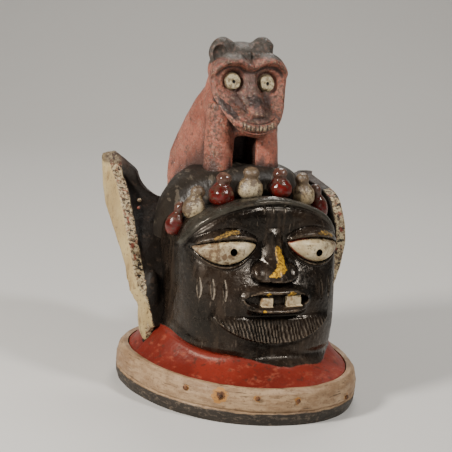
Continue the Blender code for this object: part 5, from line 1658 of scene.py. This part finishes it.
def hoop_paint():
    p = Paint("hoop_cream")
    grain = p.noise(60, 6, 0.65, (1.0, 1.0, 4.0))
    cream = p.mix(p.band(grain, 0.40, 0.60), (0.400, 0.270, 0.158), (0.270, 0.170, 0.094))
    cream = p.flecked(cream, (0.240, 0.140, 0.074), 16, 6, 0.7, 0.48, 0.62, 0.0, 0.7)
    split = p.spots(55, 2, 0.5, 0.64, 0.70, stretch=(1.0, 1.0, 11.0))
    cream = p.mix(p.times(split, 0.8), cream, (0.060, 0.036, 0.020))
    cream = p.flecked(cream, (0.130, 0.075, 0.042), 330, 6, 0.75, 0.56, 0.62, 0.0, 0.6)
    rust = p.ragged("rust", 300, 13.0, 6)
    cream = p.mix(p.band(rust, -0.4, 1.0, 0.0, 0.95), cream, (0.38, 0.175, 0.044))
    cream = p.mix(p.band(rust, 3.0, 5.2, 0.0, 0.95), cream, (0.075, 0.030, 0.014))
    black = p.mix(p.noise(60, 5), (0.012, 0.010, 0.008), (0.050, 0.038, 0.028))
    black = p.flecked(black, (0.17, 0.130, 0.092), 170, 6, 0.75, 0.52, 0.62, 0.0, 0.6, (1.0, 1.0, 2.0))
    colour = p.mix(p.band(p.ragged("band", 70, 4.5, 6), -0.6, 0.6), black, cream)
    normal = p.bump(grain, 0.0010, 0.7, p.bump(split, 0.0010, -0.8))
    return p.finish(colour, p.band(grain, 0.3, 0.7, 0.45, 0.68), normal, 0.35)


def iron_paint():
    p = Paint("rusty_iron")
    colour = p.mix(p.spots(300, 5, 0.7, 0.40, 0.62), (0.055, 0.030, 0.020), (0.22, 0.095, 0.040))
    p.shader.inputs["Metallic"].default_value = 0.45
    rough = p.spots(200, 3, 0.6, 0.3, 0.7, 0.55, 0.8)
    return p.finish(colour, rough, p.bump(p.noise(400, 4), 0.0005, 0.6))


# Hoop and nails


def hoop_section():
    """Outline of the hoop's section as (inset, height), stepped finely on its outer side."""
    corners = (
        (HOOP_THICK, 0.0), (0.003, 0.0), (0.0008, 0.006), (0.0002, GROOVE_HEIGHT - 0.002),
        (0.0002 + GROOVE_DEPTH, GROOVE_HEIGHT), (0.0, GROOVE_HEIGHT + 0.002), (0.0, 0.024),
        (0.0018, HOOP_HEIGHT - 0.005), (0.0060, HOOP_HEIGHT), (HOOP_THICK, HOOP_HEIGHT - 0.0006),
    )
    section = []
    for start, end in zip(corners, corners[1:] + corners[:1]):
        inward, upward = end[0] - start[0], end[1] - start[1]
        parts = max(1, int(round(np.hypot(inward, upward) / 0.0012))) if start[0] < 0.010 else 4
        for share in np.linspace(0.0, 1.0, parts + 1)[:-1]:
            section.append((start[0] + inward * share, start[1] + upward * share))
    return section


def hoop_piece():
    section = hoop_section()
    turns = around(HOOP_FINE_STEPS)
    points = [rim_point(turn, inset, height) for inset, height in section for turn in turns]
    rings, steps = len(section), HOOP_FINE_STEPS
    faces = []
    for k in range(rings):
        m = (k + 1) % rings
        for i in range(steps):
            j = (i + 1) % steps
            faces.append((k * steps + i, k * steps + j, m * steps + j, m * steps + i))
    mesh = face_outward(plain_mesh("cream_hoop", points, faces))
    roughen(mesh, "hoop")
    hoop = solid("cream_hoop", mesh)
    for turn, height in NAIL_SPOTS:
        combine(hoop, solid("hole", nail_hole(turn, height)), "DIFFERENCE")
    return hoop


def nail_line(turn, height):
    """Outside and inside ends of a nail's line through the hoop."""
    angle = np.radians(turn)
    outside = rim_point(angle, 0.0, height)
    inside = rim_point(angle, HOOP_THICK + NAIL_BITE, height)
    return outside, inside, (inside - outside).normalized()


def nail_hole(turn, height):
    outside, inside, way = nail_line(turn, height)
    radius = NAIL_RADIUS + TOUCH_GAP
    return rod("hole", outside - way * 0.004, inside + way * TOUCH_GAP, radius, NAIL_SIDES)


def nail_piece(number, turn, height):
    """Forged nail: a low uneven head on a thin shank."""
    outside, inside, way = nail_line(turn, height)
    seat = outside - way * TOUCH_GAP * 3
    length = (inside - seat).length
    shank = NAIL_RADIUS * 0.9
    head = [(NAIL_HEAD_RADIUS * wide, NAIL_HEAD_THICK * high) for wide, high in NAIL_HEAD_SHARES]
    profile = [(0.0, -length), (NAIL_RADIUS * 0.5, -length * 0.98), (shank, -0.0050), (shank, 0.0), *head]
    aim = (-way).to_track_quat("Z", "Y").to_matrix().to_4x4()
    mesh = turned(f"iron_nail_{number}", profile, NAIL_HEAD_SIDES, seat, aim)
    for vertex in mesh.vertices:
        if (seat - vertex.co).dot(way) > -0.0001:
            spot = noise.noise(vertex.co * 420.0 + Vector((number, 0, 0)))
            vertex.co += (vertex.co - seat).normalized() * min(0.0, spot) * 0.0009
    return solid(f"iron_nail_{number}", mesh)


def keep_hoop_zones(mesh):
    points = coordinates(mesh)
    keep(mesh, "band", (points[:, 2] - GROOVE_HEIGHT + 0.0015) * MM)
    rust = np.full(len(points), OUTSIDE)
    for (turn, height), reach in zip(NAIL_SPOTS, RUST_REACHES):
        place = np.array(rim_point(np.radians(turn), 0.0, height))
        rust = np.maximum(rust, (reach - np.linalg.norm(points - place, axis=1)) * MM)
    keep(mesh, "rust", rust)


def settle(item):
    """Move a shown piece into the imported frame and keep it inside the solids' box."""
    low, high = (np.array(corner) for corner in CAD_BOX)
    points = coordinates(item.data) + np.array([0.0, SHIFT, 0.0])
    points = np.clip(points, low + BOX_MARGIN, high - BOX_MARGIN)
    item.data.vertices.foreach_set("co", points.ravel())
    item.data.update()
    item.data.shade_smooth()
    item.data.set_sharp_from_angle(angle=np.radians(60))


# Stage


def studio_floor():
    """Pale floor that sweeps up behind the mask."""
    profile = [(-FLOOR_REACH, 0.0), (SWEEP, 0.0)]
    for turn in np.linspace(0, np.pi / 2, 13)[1:]:
        profile.append((SWEEP + SWEEP * np.sin(turn), SWEEP - SWEEP * np.cos(turn)))
    profile.append((2 * SWEEP, WALL_TOP))
    points = [(side * FLOOR_HALF_WIDTH, y, z) for y, z in profile for side in (-1, 1)]
    faces = [(2 * k, 2 * k + 1, 2 * k + 3, 2 * k + 2) for k in range(len(profile) - 1)]
    mesh = plain_mesh("studio_floor", points, faces)
    mesh.shade_smooth()
    floor = solid("studio_floor", mesh)
    floor.rotation_euler = (0.0, 0.0, np.radians(VIEW_AZIMUTH))
    p = Paint("studio_grey")
    tone = p.mix(p.noise(3, 2), FLOOR_TONE, tuple(c * 0.96 for c in FLOOR_TONE))
    mesh.materials.append(p.finish(tone, 0.85, p.bump(p.noise(40, 2), 0.0004, 0.1), 0.2))
    return floor


def lamp(name, place, size, power, colour):
    light = bpy.data.lights.new(name, "AREA")
    light.shape = "DISK"
    light.size = size
    light.energy = power
    light.color = colour
    item = bpy.data.objects.new(name, light)
    item.location = place
    item.rotation_euler = (LAMP_AIM - place).to_track_quat("-Z", "Y").to_euler()
    bpy.context.scene.collection.objects.link(item)


def view_point(azimuth, elevation, distance):
    """Place seen from a turning angle to the right of the face and a height angle."""
    turn, up = np.radians(azimuth), np.radians(elevation)
    return Vector((np.sin(turn) * np.cos(up), -np.cos(turn) * np.cos(up), np.sin(up))) * distance


def photo_camera():
    camera = bpy.data.cameras.new("photo_camera")
    camera.lens = VIEW_LENS
    camera.sensor_width = 36.0
    item = bpy.data.objects.new("photo_camera", camera)
    turn, roll = np.radians(VIEW_AZIMUTH), np.radians(VIEW_ROLL)
    back = view_point(VIEW_AZIMUTH, VIEW_ELEVATION, 1.0)
    right = Vector((np.cos(turn), np.sin(turn), 0.0))
    up = back.cross(right)
    across = right * np.cos(roll) + up * np.sin(roll)
    upward = up * np.cos(roll) - right * np.sin(roll)
    frame_of_view = Matrix((across, upward, back)).transposed().to_4x4()
    aim = Vector(VIEW_AIM) + Vector((0.0, SHIFT, 0.0))
    item.matrix_world = Matrix.Translation(aim + back * VIEW_DISTANCE) @ frame_of_view
    bpy.context.scene.collection.objects.link(item)
    bpy.context.scene.camera = item


def light_the_stage():
    world = bpy.data.worlds.new("studio")
    world.use_nodes = True
    background = world.node_tree.nodes["Background"].inputs
    background["Color"].default_value = SKY_COLOUR
    background["Strength"].default_value = SKY_STRENGTH
    bpy.context.scene.world = world
    for name, (place, size, power, colour) in LAMPS.items():
        lamp(name, view_point(*place), size, power, colour)


def main():
    slots = [
        head_paint(),
        hair_paint(),
        knob_paint("knob_red", *RED_PAINT),
        knob_paint("knob_cream", *CREAM_PAINT),
        ear_paint(),
        beast_paint(),
        raw_wood_paint(),
    ]
    mask = mask_piece(slots)
    for turn, height in NAIL_SPOTS:
        add_form(mask, nail_hole(turn, height), slots, RAW_WOOD, "DIFFERENCE")
    keep_zones(mask.data)
    settle(mask)
    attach(mask, "root")
    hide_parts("mask")

    hoop = hoop_piece()
    keep_hoop_zones(hoop.data)
    settle(hoop)
    hoop.data.materials.clear()
    hoop.data.materials.append(hoop_paint())
    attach(hoop, "root")
    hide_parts("rim_hoop")

    iron = iron_paint()
    for number, (turn, height) in enumerate(NAIL_SPOTS, start=1):
        nail = nail_piece(number, turn, height)
        settle(nail)
        nail.data.materials.append(iron)
        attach(nail, "root")
        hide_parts(f"nail_{number}")

    studio_floor()
    light_the_stage()
    photo_camera()


main()
